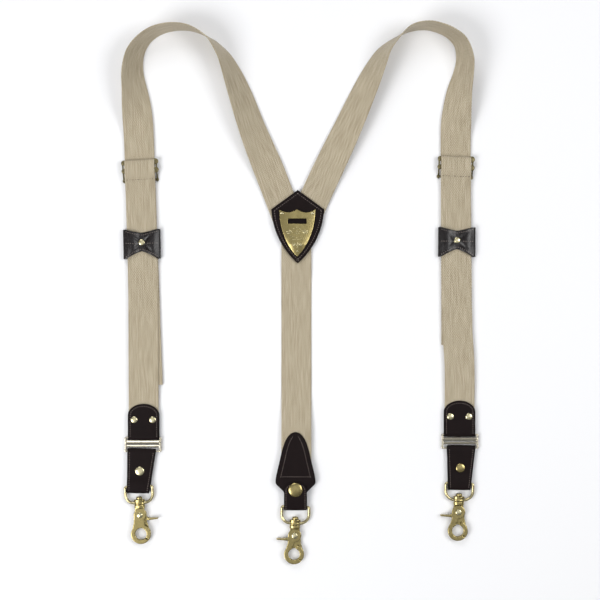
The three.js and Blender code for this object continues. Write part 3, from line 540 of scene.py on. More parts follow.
@dataclass
class Strip:
    """A strip of leather or webbing that follows its middle line: a row of stations, with one direction
    across or one for each, and a half-width and thickness for each.
    """

    centres: np.ndarray
    across: np.ndarray
    half: np.ndarray
    thick: np.ndarray | float
    edge: float = 0.5  # how far the rounded edge reaches in
    columns: int = 8
    round_steps: int = 4
    crown: float = 0.0  # how far the middle of the upper side stands proud
    groove: float = 0.0  # how far in from the edge a seam is pulled down, or 0 for none
    closed: bool = False

    def along(self) -> np.ndarray:
        """Distance along the middle line at each station."""
        return travel(self.centres)

    def normals(self) -> np.ndarray:
        """The direction out of the upper side at each station.

        Returns:
            One unit vector for each station.
        """
        if self.closed:
            tangent = np.roll(self.centres, -1, 0) - np.roll(self.centres, 1, 0)
        else:
            tangent = np.gradient(self.centres, axis=0)
        normal = np.cross(tangent, self.across)
        return normal / np.linalg.norm(normal, axis=1)[:, None]

    def shape(self) -> Shape:
        """Builds the closed shell.

        Returns:
            The shape, with cloth values (across, along) and the rim.
        """
        count = len(self.centres)
        across = np.broadcast_to(self.across, self.centres.shape)
        half = np.asarray(self.half, float)
        reach = np.minimum(self.edge, half * 0.9)
        k = np.linspace(-1, 1, self.columns + 1)
        turn = np.linspace(0, math.pi, self.round_steps + 1)[1:-1]
        share = np.concatenate([k, np.ones_like(turn), -k, -np.ones_like(turn)])
        bulge = np.concatenate([0 * k, np.sin(turn), 0 * k, -np.sin(turn)])
        lift = np.concatenate([np.ones_like(k), np.cos(turn), -np.ones_like(k), -np.cos(turn)])
        out = (half - reach)[:, None] * share + reach[:, None] * bulge
        thick = np.broadcast_to(self.thick, (count,))
        up = lift * thick[:, None] / 2
        up = up + np.where(lift > 0, self.crown * (1 - (out / np.maximum(half, 0.1)[:, None]) ** 2), 0)
        if self.groove:
            off = (half[:, None] - np.abs(out) - self.groove) / 0.8
            up = up - np.where(lift > 0, 0.22 * np.exp(-(off**2)), 0)
        points = (
            self.centres[:, None] + across[:, None] * out[..., None] + self.normals()[:, None] * up[..., None]
        )
        size = len(share)
        rows = np.arange(count if self.closed else count - 1)[:, None] * size
        after = (rows + size) % (count * size)
        j = np.arange(size)
        nxt = (j + 1) % size
        quads = np.stack([rows + j, rows + nxt, after + nxt, after + j], -1).reshape(-1, 4)
        faces = [tuple(q) for q in quads.tolist()]
        if not self.closed:
            faces.append(tuple(range(size - 1, -1, -1)))
            faces.append(tuple(range((count - 1) * size, count * size)))
        cloth = np.stack([out, np.broadcast_to(self.along()[:, None], out.shape)], -1).reshape(-1, 2)
        rim = np.clip(1 - (half[:, None] - np.abs(out)) / 1.2, 0, 1).ravel()
        return Shape(points.reshape(-1, 3), faces, cloth, rim)


def lathe(
    profile: Sequence[tuple[float, float]], x: float, y: float, sides: int = 40, ring: bool = False
) -> Shape:
    """Turns a profile about a vertical axis.

    Args:
        profile: Radius and height pairs, from the axis at the bottom to the axis at the top.
        x: Where the axis stands.
        y: Where the axis stands.
        sides: How many sides the turning has.
        ring: Whether the profile closes on itself, away from the axis.

    Returns:
        The closed shape.
    """
    inner = np.array([p for p in profile if p[0] > 0])
    angle = np.linspace(0, 2 * math.pi, sides, endpoint=False)
    rings = [
        np.stack([x + r * np.cos(angle), y + r * np.sin(angle), np.full(sides, z)], 1) for r, z in inner
    ]
    ends = np.array([[x, y, profile[0][1]], [x, y, profile[-1][1]]])
    points = np.vstack([*rings, ends])
    j = np.arange(sides)
    nxt = (j + 1) % sides
    faces = []
    for i in range(len(inner) - (0 if ring else 1)):
        k = (i + 1) % len(inner)
        quads = np.stack([i * sides + j, i * sides + nxt, k * sides + nxt, k * sides + j], 1)
        faces += [tuple(q) for q in quads.tolist()]
    if ring:
        return Shape(np.vstack(rings), faces)
    low, high = len(points) - 2, len(points) - 1
    last = (len(inner) - 1) * sides
    faces += [(low, int(b), int(a)) for a, b in zip(j, nxt)]
    faces += [(high, int(last + a), int(last + b)) for a, b in zip(j, nxt)]
    return Shape(points, faces)


def dome(radius: float, low: float, high: float, rim: float, steps: int = 8) -> list[tuple[float, float]]:
    """The outline of a domed cap with a rolled rim.

    Args:
        radius: The cap's radius.
        low: Its underside's height.
        high: Its crown's height.
        rim: The rolled edge's radius.
        steps: Points on the dome.

    Returns:
        Radius and height pairs from the underside's outer edge to the crown.
    """
    roll = [
        (radius - rim + rim * math.cos(a), low + rim + rim * math.sin(a)) for a in np.linspace(-1.4, 1.0, 6)
    ]
    top_r, top_z = roll[-1]
    cap = [
        (top_r * math.cos(a), top_z + (high - top_z) * math.sin(a))
        for a in np.linspace(0.1, math.pi / 2, steps)
    ]
    return roll + cap[:-1] + [(0.0, high)]


def prism(outline: np.ndarray, low: float, high: float) -> Shape:
    """A flat plate with this outline, from one height to another.

    Args:
        outline: Its corners in plan, anticlockwise.
        low: Its underside's height.
        high: Its top's height.

    Returns:
        The closed plate.
    """
    count = len(outline)
    j = np.arange(count)
    sides = np.stack([j, (j + 1) % count, (j + 1) % count + count, j + count], 1)
    caps = [tuple(range(count - 1, -1, -1)), tuple(range(count, 2 * count))]
    return Shape(
        np.vstack([lifted(outline, low), lifted(outline, high)]), [tuple(q) for q in sides.tolist()] + caps
    )


def smooth_copy(node: str, voxel: float, passes: int, web: Shape | None = None) -> bpy.types.Mesh:
    """Remakes a CAD node's shape as a cast one, with rounded edges.

    Args:
        node: The CAD node.
        voxel: The size of the new faces.
        passes: How many times the faces are relaxed.
        web: A plate that is cast on, in the frame's own place.

    Returns:
        A new mesh in the node's place.
    """
    mesh = frame["nodes"][node].data.copy()
    work = bmesh.new()
    work.from_mesh(mesh)
    if web is not None:
        work.from_mesh(mesh_of("web", web))
    bmesh.ops.remove_doubles(work, verts=work.verts, dist=1e-6)
    work.to_mesh(mesh)
    work.free()
    helper = bpy.data.objects.new("casting", mesh)
    bpy.context.scene.collection.objects.link(helper)
    remesh = helper.modifiers.new("remesh", "REMESH")
    remesh.mode, remesh.voxel_size, remesh.adaptivity = "VOXEL", voxel * MM, 0.0
    relax = helper.modifiers.new("relax", "SMOOTH")
    relax.factor, relax.iterations = 0.5, passes
    return baked(helper)


def baked(helper: bpy.types.Object) -> bpy.types.Mesh:
    """Turns an object's modifiers into a plain mesh, and removes the object.

    Args:
        helper: An object in the scene, at the origin.

    Returns:
        The evaluated mesh.
    """
    bpy.context.view_layer.update()
    evaluated = helper.evaluated_get(bpy.context.evaluated_depsgraph_get())
    mesh = bpy.data.meshes.new_from_object(evaluated)
    bpy.data.objects.remove(helper)
    mesh.shade_smooth()
    return mesh


# ---------------------------------------------------------------- trees that repeat and sweep


class PathTree:
    """A Geometry Nodes tree that works along a polyline, with named inputs."""

    def __init__(self, name: str, numbers: dict[str, float]) -> None:
        """Starts the tree.

        Args:
            name: The tree's name.
            numbers: The names of its number inputs and their values at first.
        """
        self.tree = bpy.data.node_groups.new(name, "GeometryNodeTree")
        face = self.tree.interface
        face.new_socket("Geometry", in_out="INPUT", socket_type="NodeSocketGeometry")
        self.sockets = {}
        for label, value in numbers.items():
            socket = face.new_socket(label, in_out="INPUT", socket_type="NodeSocketFloat")
            socket.default_value = value
            self.sockets[label] = socket.identifier
        seed = face.new_socket("Seed", in_out="INPUT", socket_type="NodeSocketInt")
        finish = face.new_socket("Finish", in_out="INPUT", socket_type="NodeSocketMaterial")
        self.sockets["Seed"], self.sockets["Finish"] = seed.identifier, finish.identifier
        face.new_socket("Geometry", in_out="OUTPUT", socket_type="NodeSocketGeometry")
        self.given = add_node(self.tree, "NodeGroupInput")
        self.curve = add_node(self.tree, "GeometryNodeMeshToCurve", {0: self.given.outputs[0]}).outputs[0]

    def end(self, made: bpy.types.NodeSocket) -> None:
        """Ends the tree: real faces, smooth, with the finish on them.

        Args:
            made: What the tree has made.
        """
        real = add_node(self.tree, "GeometryNodeRealizeInstances", {0: made})
        smooth = add_node(self.tree, "GeometryNodeSetShadeSmooth", {0: real.outputs[0]})
        dressed = add_node(self.tree, "GeometryNodeSetMaterial",
                           {0: smooth.outputs[0], "Material": self.given.outputs["Finish"]})
        add_node(self.tree, "NodeGroupOutput", {0: dressed.outputs[0]})

    def run(
        self, paths: Sequence[np.ndarray], finish: bpy.types.Material, **numbers: float
    ) -> bpy.types.Mesh:
        """Runs the tree along polylines.

        Args:
            paths: Point rows in millimetres.
            finish: The material to set.
            **numbers: Values for the named inputs.

        Returns:
            The plain mesh.
        """
        points, edges, start = [], [], 0
        for path in paths:
            round_again = np.linalg.norm(path[0] - path[-1]) < 1e-6
            line = path[:-1] if round_again else path
            points += (line * MM).tolist()
            edges += [(start + i, start + i + 1) for i in range(len(line) - 1)]
            if round_again:
                edges.append((start + len(line) - 1, start))
            start += len(line)
        mesh = bpy.data.meshes.new("paths")
        mesh.from_pydata(points, edges, [])
        helper = bpy.data.objects.new("paths", mesh)
        bpy.context.scene.collection.objects.link(helper)
        modifier = helper.modifiers.new("tree", "NODES")
        modifier.node_group = self.tree
        for label, value in {**numbers, "Finish": finish}.items():
            modifier[self.sockets[label]] = value
        return baked(helper)


def stitch_tree() -> PathTree:
    """A row of short stitches along a path: inputs Pitch, Length, Width and Seed, in metres.

    Returns:
        The tree.
    """
    made = PathTree("stitch_row", {"Pitch": 0.0026, "Length": 0.0017, "Width": 0.0006})
    tree, given = made.tree, made.given
    spaced = add_node(
        tree, "GeometryNodeResampleCurve", {0: made.curve, "Length": given.outputs["Pitch"]}, mode="LENGTH"
    )
    bead = add_node(tree, "GeometryNodeMeshUVSphere", {"Segments": 8, "Rings": 5, "Radius": 0.5})
    size = add_node(tree, "ShaderNodeCombineXYZ",
                    {0: given.outputs["Length"], 1: given.outputs["Width"], 2: given.outputs["Width"]})
    stitch = add_node(tree, "GeometryNodeTransform", {"Geometry": bead.outputs[0], "Scale": size.outputs[0]})
    tangent = add_node(tree, "GeometryNodeInputTangent").outputs[0]
    facing = add_node(tree, "FunctionNodeAlignRotationToVector", {"Vector": tangent}, axis="X")
    vary = add_node(
        tree, "FunctionNodeRandomValue", {2: 0.85, 3: 1.1, "Seed": given.outputs["Seed"]}, data_type="FLOAT"
    )
    rows = add_node(tree, "GeometryNodeInstanceOnPoints", {
        "Points": spaced.outputs[0], "Instance": stitch.outputs[0],
        "Rotation": facing.outputs[0], "Scale": vary.outputs[1],
    })
    made.end(rows.outputs[0])
    return made


def wire_tree() -> PathTree:
    """A round wire swept along a path: input Radius, in metres.

    Returns:
        The tree.
    """
    made = PathTree("bent_wire", {"Radius": 0.0015})
    circle = add_node(made.tree, "GeometryNodeCurvePrimitiveCircle",
                      {"Resolution": 18, "Radius": made.given.outputs["Radius"]})
    swept = add_node(made.tree, "GeometryNodeCurveToMesh",
                     {0: made.curve, 1: circle.outputs[0], "Fill Caps": True})
    made.end(swept.outputs[0])
    return made


@dataclass
class Workshop:
    """What every sub-assembly is made with."""

    finishes: Finishes
    stitches: PathTree
    wire: PathTree

    def sew(
        self, name: str, paths: Sequence[np.ndarray], body: str, pitch: float = 2.6, length: float = 1.75,
        on_strap: bool = False
    ) -> bpy.types.Object:
        """Sews rows of stitches.

        Args:
            name: The piece's name.
            paths: Where the rows run, in millimetres.
            body: The body that carries them.
            pitch: Stitch to stitch.
            length: One stitch.
            on_strap: True for the straps' own thread.

        Returns:
            The piece.
        """
        finish = self.finishes.strap_thread if on_strap else self.finishes.thread
        width = 0.85 if on_strap else 0.7
        mesh = self.stitches.run(
            paths, finish, Pitch=pitch * MM, Length=length * MM, Width=width * MM, Seed=7
        )
        return add_piece(name, mesh, finish, body, None)


# ---------------------------------------------------------------- lines and outlines


def smooth_line(points: Sequence[tuple[float, float]], step: float = 0.5, ease: float = 0.0) -> np.ndarray:
    """A centripetal Catmull-Rom line through points.

    Args:
        points: Where it passes.
        step: The distance between samples.
        ease: Over how long a stretch the samples close up at both ends.

    Returns:
        Evenly spaced samples, except where they close up.
    """
    p = np.asarray(points, float)
    p = np.vstack([2 * p[0] - p[1], p, 2 * p[-1] - p[-2]])
    t = np.linspace(0, 1, 40, endpoint=False)[:, None]
    rows = []
    for a, b, c, d in zip(p[:-3], p[1:-2], p[2:-1], p[3:]):
        u, v, w = (np.linalg.norm(q - r) ** 0.5 for q, r in ((b, a), (c, b), (d, c)))
        first = ((b - a) / u - (c - a) / (u + v) + (c - b) / v) * v
        last = ((c - b) / v - (d - b) / (v + w) + (d - c) / w) * v
        rows.append(b * (2 * t**3 - 3 * t**2 + 1) + first * (t**3 - 2 * t**2 + t)
                    + c * (3 * t**2 - 2 * t**3) + last * (t**3 - t**2))
    line = np.vstack([*rows, p[-2][None]])
    run = travel(line)
    at = spaced(run[-1], step, ease)
    return np.stack([np.interp(at, run, line[:, n]) for n in range(line.shape[1])], 1)


def spaced(length: float, step: float, ease: float) -> np.ndarray:
    """Distances from 0 to a length, a step apart, closing up over an ease at both ends.

    Args:
        length: The whole distance.
        step: The distance between places.
        ease: Over how long a stretch the places close up.

    Returns:
        The places, rising.
    """
    if not ease:
        return np.linspace(0, length, max(2, int(length / step) + 1))
    start = ease * (1 - np.cos(np.linspace(0, math.pi / 2, int(1.6 * ease / step) + 4)))
    middle = np.linspace(ease, length - ease, max(2, int((length - 2 * ease) / step)))
    return np.concatenate([start[:-1], middle, (length - start[:-1])[::-1]])


def half_turn(y: float, z: float, radius: float, side: int) -> list[tuple[float, float]]:
    """Half a turn from below an axis to above it, bulging towards a side.

    Args:
        y: Where the axis is along the strap.
        z: The axis's height.
        radius: The turn's radius.
        side: 1 to bulge towards +Y, -1 towards -Y.

    Returns:
        The turn as (y, z) points.
    """
    return [
        (y + side * radius * math.cos(a), z + radius * math.sin(a))
        for a in np.linspace(-math.pi / 2, math.pi / 2, 5)
    ]


def follow(rows: Sequence[Sequence[float]], at: np.ndarray) -> np.ndarray:
    """A smooth run through rows of numbers.

    Args:
        rows: The first number is where each row holds; the rest follow it.
        at: Where to read the run.

    Returns:
        One row of the other numbers for each place.
    """
    table = np.asarray(rows, float)
    keys, values = table[:, 0], table[:, 1:]
    k = np.arange(len(keys))
    before, after = np.maximum(k - 1, 0), np.minimum(k + 1, len(keys) - 1)
    slope = (values[after] - values[before]) / (keys[after] - keys[before])[:, None]
    i = np.clip(np.searchsorted(keys, at, side="left") - 1, 0, len(keys) - 2)
    h = (keys[i + 1] - keys[i])[:, None]
    t = np.clip((at - keys[i])[:, None] / h, 0, 1)
    return ((2 * t**3 - 3 * t**2 + 1) * values[i] + (t**3 - 2 * t**2 + t) * h * slope[i]
            + (3 * t**2 - 2 * t**3) * values[i + 1] + (t**3 - t**2) * h * slope[i + 1])


def bezier(
    a: Sequence[float], b: Sequence[float], c: Sequence[float], d: Sequence[float], count: int = 40
) -> np.ndarray:
    """A cubic Bezier curve, without its last point.

    Args:
        a: The first point.
        b: The first handle.
        c: The second handle.
        d: The last point.
        count: How many samples.

    Returns:
        The samples, with the last point left out.
    """
    t = np.linspace(0, 1, count, endpoint=False)[:, None]
    a, b, c, d = (np.asarray(p, float) for p in (a, b, c, d))
    return (1 - t) ** 3 * a + 3 * (1 - t) ** 2 * t * b + 3 * (1 - t) * t**2 * c + t**3 * d


def inset(outline: np.ndarray, distance: float) -> np.ndarray:
    """Moves a closed convex outline, listed anticlockwise, inwards with mitred corners.

    Args:
        outline: The corners.
        distance: How far in.

    Returns:
        As many corners, moved.
    """
    ahead = np.roll(outline, -1, 0) - outline
    ahead = ahead / np.linalg.norm(ahead, axis=1)[:, None]
    inward = np.stack([-ahead[:, 1], ahead[:, 0]], 1)
    behind = np.roll(inward, 1, 0)
    mitre = inward + behind
    return outline + mitre * (2 * distance / (mitre**2).sum(1))[:, None]


def lifted(line: np.ndarray, height: float | np.ndarray) -> np.ndarray:
    """Gives a line in plan its height."""
    return np.column_stack([line, np.broadcast_to(height, len(line))])


def half_width(outline: np.ndarray, y: np.ndarray) -> np.ndarray:
    """How far a symmetric outline reaches to the right at each height y.

    Args:
        outline: The corners in plan.
        y: Where to measure.

    Returns:
        The half-widths.
    """
    right = outline[outline[:, 0] >= -1e-6]
    order = np.argsort(right[:, 1])
    return np.interp(y, right[order, 1], right[order, 0])


@dataclass(frozen=True)
class Place:
    """Where a small assembly sits: an origin, a turn in plan and whether it lies face down."""

    x: float
    y: float
    z: float = 0.0
    cosine: float = 1.0
    sine: float = 0.0
    face_down: bool = False

    @classmethod
    def of_joint(cls, name: str, across: Sequence[float] | None = None, face_down: bool = False) -> "Place":
        """Reads a joint of the record.

        Args:
            name: The joint.
            across: The direction of local x, when it isn't the joint's own axis.
            face_down: Whether the assembly lies on its face.

        Returns:
            The place.
        """
        joint = next(j for j in frame["joints"] if j["name"] == name)
        x, y, z = (v / MM for v in joint["pos_m"])
        direction = joint["axis"] if across is None else across
        return cls(x, y, z, direction[0], direction[1], face_down)

    def put(self, points: np.ndarray) -> np.ndarray:
        """Moves local points to the frame's own place.

        Args:
            points: Local points, with or without a height.

        Returns:
            The moved points.
        """
        points = np.asarray(points, float)
        x, y = points[:, 0], points[:, 1]
        z = points[:, 2] if points.shape[1] > 2 else np.zeros(len(points))
        if self.face_down:
            x, z = -x, -z
        return np.stack([
            self.x + x * self.cosine - y * self.sine, self.y + x * self.sine + y * self.cosine, self.z + z,
        ], 1)


def frame_shift() -> tuple[float, float]:
    """How far the frame's origin lies from the one that the drawings use, from the yoke's own box."""
    low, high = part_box("yoke_rear")
    return (low[0] + high[0]) / 2 / MM - Yoke.x, high[1] / MM - Yoke.peak


# ---------------------------------------------------------------- straps

# Heights of middle lines and faces, as the frame has them.
RUN_Z = 2.5
OVER_Z = 4.0
FOLD_Z = 7.4
BACK_SKIN_Z = 1.7
END_WEB_Z = 3.3
END_SKIN_Z = 4.9
PIN_Z = 2.9
PIN_BEND = 2.0
LAP_Z = 3.4
TAB_SKIN_Z = 5.1
HOOK_Z = 3.9
LOOP_BEND = 2.5
BACK_LOW_Z = 2.7
BACK_WEB_Z = 4.8
BACK_HIGH_Z = 5.7
BACK_TOP_Z = 7.9
YOKE_LOW_WEB = 2.1
YOKE_HIGH_WEB = 3.6
YOKE_FACE = 4.5
PLATE_Z = 6.2
FLOOR_CLEAR = 0.1
CLINCH = 0.6
SELVAGE_PITCH = 3.3


def woven(along: np.ndarray) -> np.ndarray:
    """Half the webbing's width along it: the weft's turns scallop the selvage, and it is never quite even.

    Args:
        along: Distance along the strap at each station.

    Returns:
        The half-width at each.
    """
    scallop = 0.35 * np.abs(np.sin(math.pi * along / SELVAGE_PITCH))
    drift = 0.06 * np.sin(along / 17.0 + 0.6) + 0.04 * np.sin(along / 6.3)
    return WEB_WIDTH / 2 - 0.47 + scallop + drift


def webbing_strip(centres: np.ndarray, across: np.ndarray) -> Strip:
    """A run of webbing.

    Args:
        centres: The middle line.
        across: The direction across at each station.

    Returns:
        The strip, with its uneven selvage.
    """
    strip = Strip(centres, across, np.zeros(len(centres)), WEB, edge=0.55, columns=14, round_steps=4)
    strip.half = woven(strip.along())
    return strip


@dataclass
class ShoulderStrap:
    """One strap from its cut end behind the front, round over the shoulder and under the yoke."""

    side: Side
    route: Sequence[Sequence[float]]  # x, y, tilt in degrees, height of the lower edge
    step: float = 0.55

    def stations(self) -> tuple[np.ndarray, np.ndarray]:
        """Works out the middle line and the direction across it.

        Returns:
            The middle line and the direction across it, evenly spaced.
        """
        route = np.asarray(self.route, float)
        run = travel(route[:, :2])
        rows = np.column_stack([run, route])

        def centre(at: np.ndarray) -> tuple[np.ndarray, np.ndarray]:
            """The middle line and the tilt, at distances along the route in plan."""
            x, y, tilt, low = follow(rows, at).T
            return np.stack([x, y, low + WEB_WIDTH / 2 * np.sin(np.radians(tilt))], 1), tilt

        fine = np.linspace(0, run[-1], 4000)
        line, _ = centre(fine)
        length = travel(line)
        at = np.interp(np.linspace(0, length[-1], int(length[-1] / self.step)), length, fine)
        line, tilt = centre(at)
        tangent = np.gradient(line, axis=0)
        tangent /= np.linalg.norm(tangent, axis=1)[:, None]
        level = np.stack([-tangent[:, 1], tangent[:, 0], 0 * tilt], 1) * self.side.value
        level /= np.linalg.norm(level, axis=1)[:, None]
        rise = -self.side.value * np.cross(level, tangent)
        angle = np.radians(tilt)[:, None]
        return line, level * np.cos(angle) + rise * np.sin(angle)

    def build(self, shop: Workshop) -> None:
        """Builds the strap.

        Args:
            shop: What to make it with.
        """
        line, across = self.stations()
        name = f"{self.side.prefix}_shoulder_strap"
        shift = frame_shift()
        strip = webbing_strip(line + [*shift, 0], across)
        piece = add_piece(
            f"{name}_webbing", mesh_of(name, strip.shape()), shop.finishes.webbing, "straps", Slot.WEBBING,
            name
        )
        float(strip.along()[-1]) * MM


@dataclass
class BackStrap:
    """The strap from the yoke down to the back end."""

    x: float = 0.1
    loop_y: float = -246.8
    yoke_tip: float = 32.8

    def build(self, shop: Workshop) -> None:
        """Builds the strap.

        Args:
            shop: What to make it with.
        """
        low = GAP + WEB / 2
        end, start = self.loop_y + 26.8, self.yoke_tip + 29.2
        line = smooth_line(
            [
                (end, BACK_WEB_Z), (end + 30, BACK_WEB_Z), (end + 62, BACK_WEB_Z),
                (end + 80, (BACK_WEB_Z + low) / 2), (end + 100, low + 0.2), (end + 120, low),
                ((end + start) / 2 + 30, low), (start - 52, low), (start - 34, YOKE_LOW_WEB - 0.1),
                (start, YOKE_LOW_WEB),
            ],
            0.55
        )
        shift = frame_shift()
        centres = np.column_stack([np.full(len(line), self.x + shift[0]), line[:, 0] + shift[1], line[:, 1]])
        strip = webbing_strip(centres, RIGHTWARD)
        piece = add_piece("back_strap_webbing", mesh_of("back_strap", strip.shape()), shop.finishes.webbing,
                          "straps", Slot.WEBBING, "back_strap")
        float(strip.along()[-1]) * MM


# ---------------------------------------------------------------- leather


@dataclass
class FoldedLeather:
    """A strip of leather that is folded over in the (y, z) plane, with its stitches on the upper run."""

    path: Sequence[tuple[float, float]]
    half: Callable[[np.ndarray], np.ndarray]
    ease: float = 0.0
    groove: float = SEAM_IN
    slant: Callable[[np.ndarray], np.ndarray] = field(default=lambda points: points)

    def strip(self) -> Strip:
        """The strip before its slant.

        Returns:
            The strip, upright at the origin.
        """
        line = smooth_line(self.path, 0.5, self.ease)
        centres = np.column_stack([np.zeros(len(line)), line])
        return Strip(centres, RIGHTWARD, self.half(line[:, 0]), SKIN, edge=0.5, columns=26,
                     round_steps=5, crown=0.12, groove=self.groove)

    def top(self, y: np.ndarray) -> np.ndarray:
        """The height of the upper run's face at y.

        Args:
            y: Where to measure.

        Returns:
            The heights.
        """
        line = smooth_line(self.path, 0.5)
        heights = np.sort(line[:, 1])
        upper = line[line[:, 1] > (heights[0] + heights[-1]) / 2]
        order = np.argsort(upper[:, 0])
        return np.interp(y, upper[order, 0], upper[order, 1]) + SKIN / 2

    def shape(self) -> Shape:
        """The shape in its own place."""
        return self.strip().shape().moved(self.slant)

    def seam(self, line: np.ndarray) -> np.ndarray:
        """Lays a line in plan on the upper face, slanted as the leather is."""
        return self.slant(lifted(line, self.top(line[:, 1]) - 0.02))


def arched(wide: float, length: float, arch: float) -> Callable[[np.ndarray], np.ndarray]:
    """A strip's half-width where its far end is rounded.

    Args:
        wide: The half-width up to the arch.
        length: How far up the strip ends.
        arch: How much of that the rounding takes.

    Returns:
        The half-width as a rule of the distance up.
    """

    def half(y: np.ndarray) -> np.ndarray:
        """Half the leather's width at y."""
        over = np.clip((y - length + arch) / arch, 0, 1)
        return np.maximum(wide * np.sqrt(1 - over**2), 0.05)

    return half


def arched_seam(
    wide: float, length: float, arch: float, seam_in: float, foot: float, steps: int
) -> np.ndarray:
    """A seam in plan that follows an arched strip's edge, up, over and down.

    Args:
        wide: The half-width up to the arch.
        length: How far up the strip ends.
        arch: How much of that the rounding takes.
        seam_in: How far inside the edge it runs.
        foot: Where it starts.
        steps: Points round the arch.

    Returns:
        The seam's points.
    """
    inner, straight = wide - seam_in, length - arch
    angle = np.linspace(0, math.pi, steps)
    over = np.stack([inner * np.cos(angle), straight + (arch - seam_in) * np.sin(angle)], 1)
    rise = np.linspace(foot, straight, 40)
    sides = [np.stack([s * np.full(40, inner), rise], 1) for s in (1, -1)]
    return np.vstack([sides[0], over[1:-1], sides[1][::-1]])


def rivet_shape(
    cap: float, low: float, high: float, shank: float, foot: float, foot_low: float, foot_high: float,
    x: float = 0.0, y: float = 0.0
) -> Shape:
    """A domed rivet with its shank and its clinched head.

    Args:
        cap: The cap's radius.
        low: The cap's underside.
        high: The crown.
        shank: The shank's radius.
        foot: The clinched head's radius.
        foot_low: The clinched head's underside.
        foot_high: Its top.
        x: Where the axis stands.
        y: Where the axis stands.

    Returns:
        The closed shape.
    """
    return lathe([
        (0.0, foot_low), (foot - 0.15, foot_low), (foot, foot_low + 0.15), (foot, foot_high - 0.1),
        (foot - 0.1, foot_high), (shank, foot_high), (shank, low), *dome(cap, low, high, 0.35),
    ], x, y)


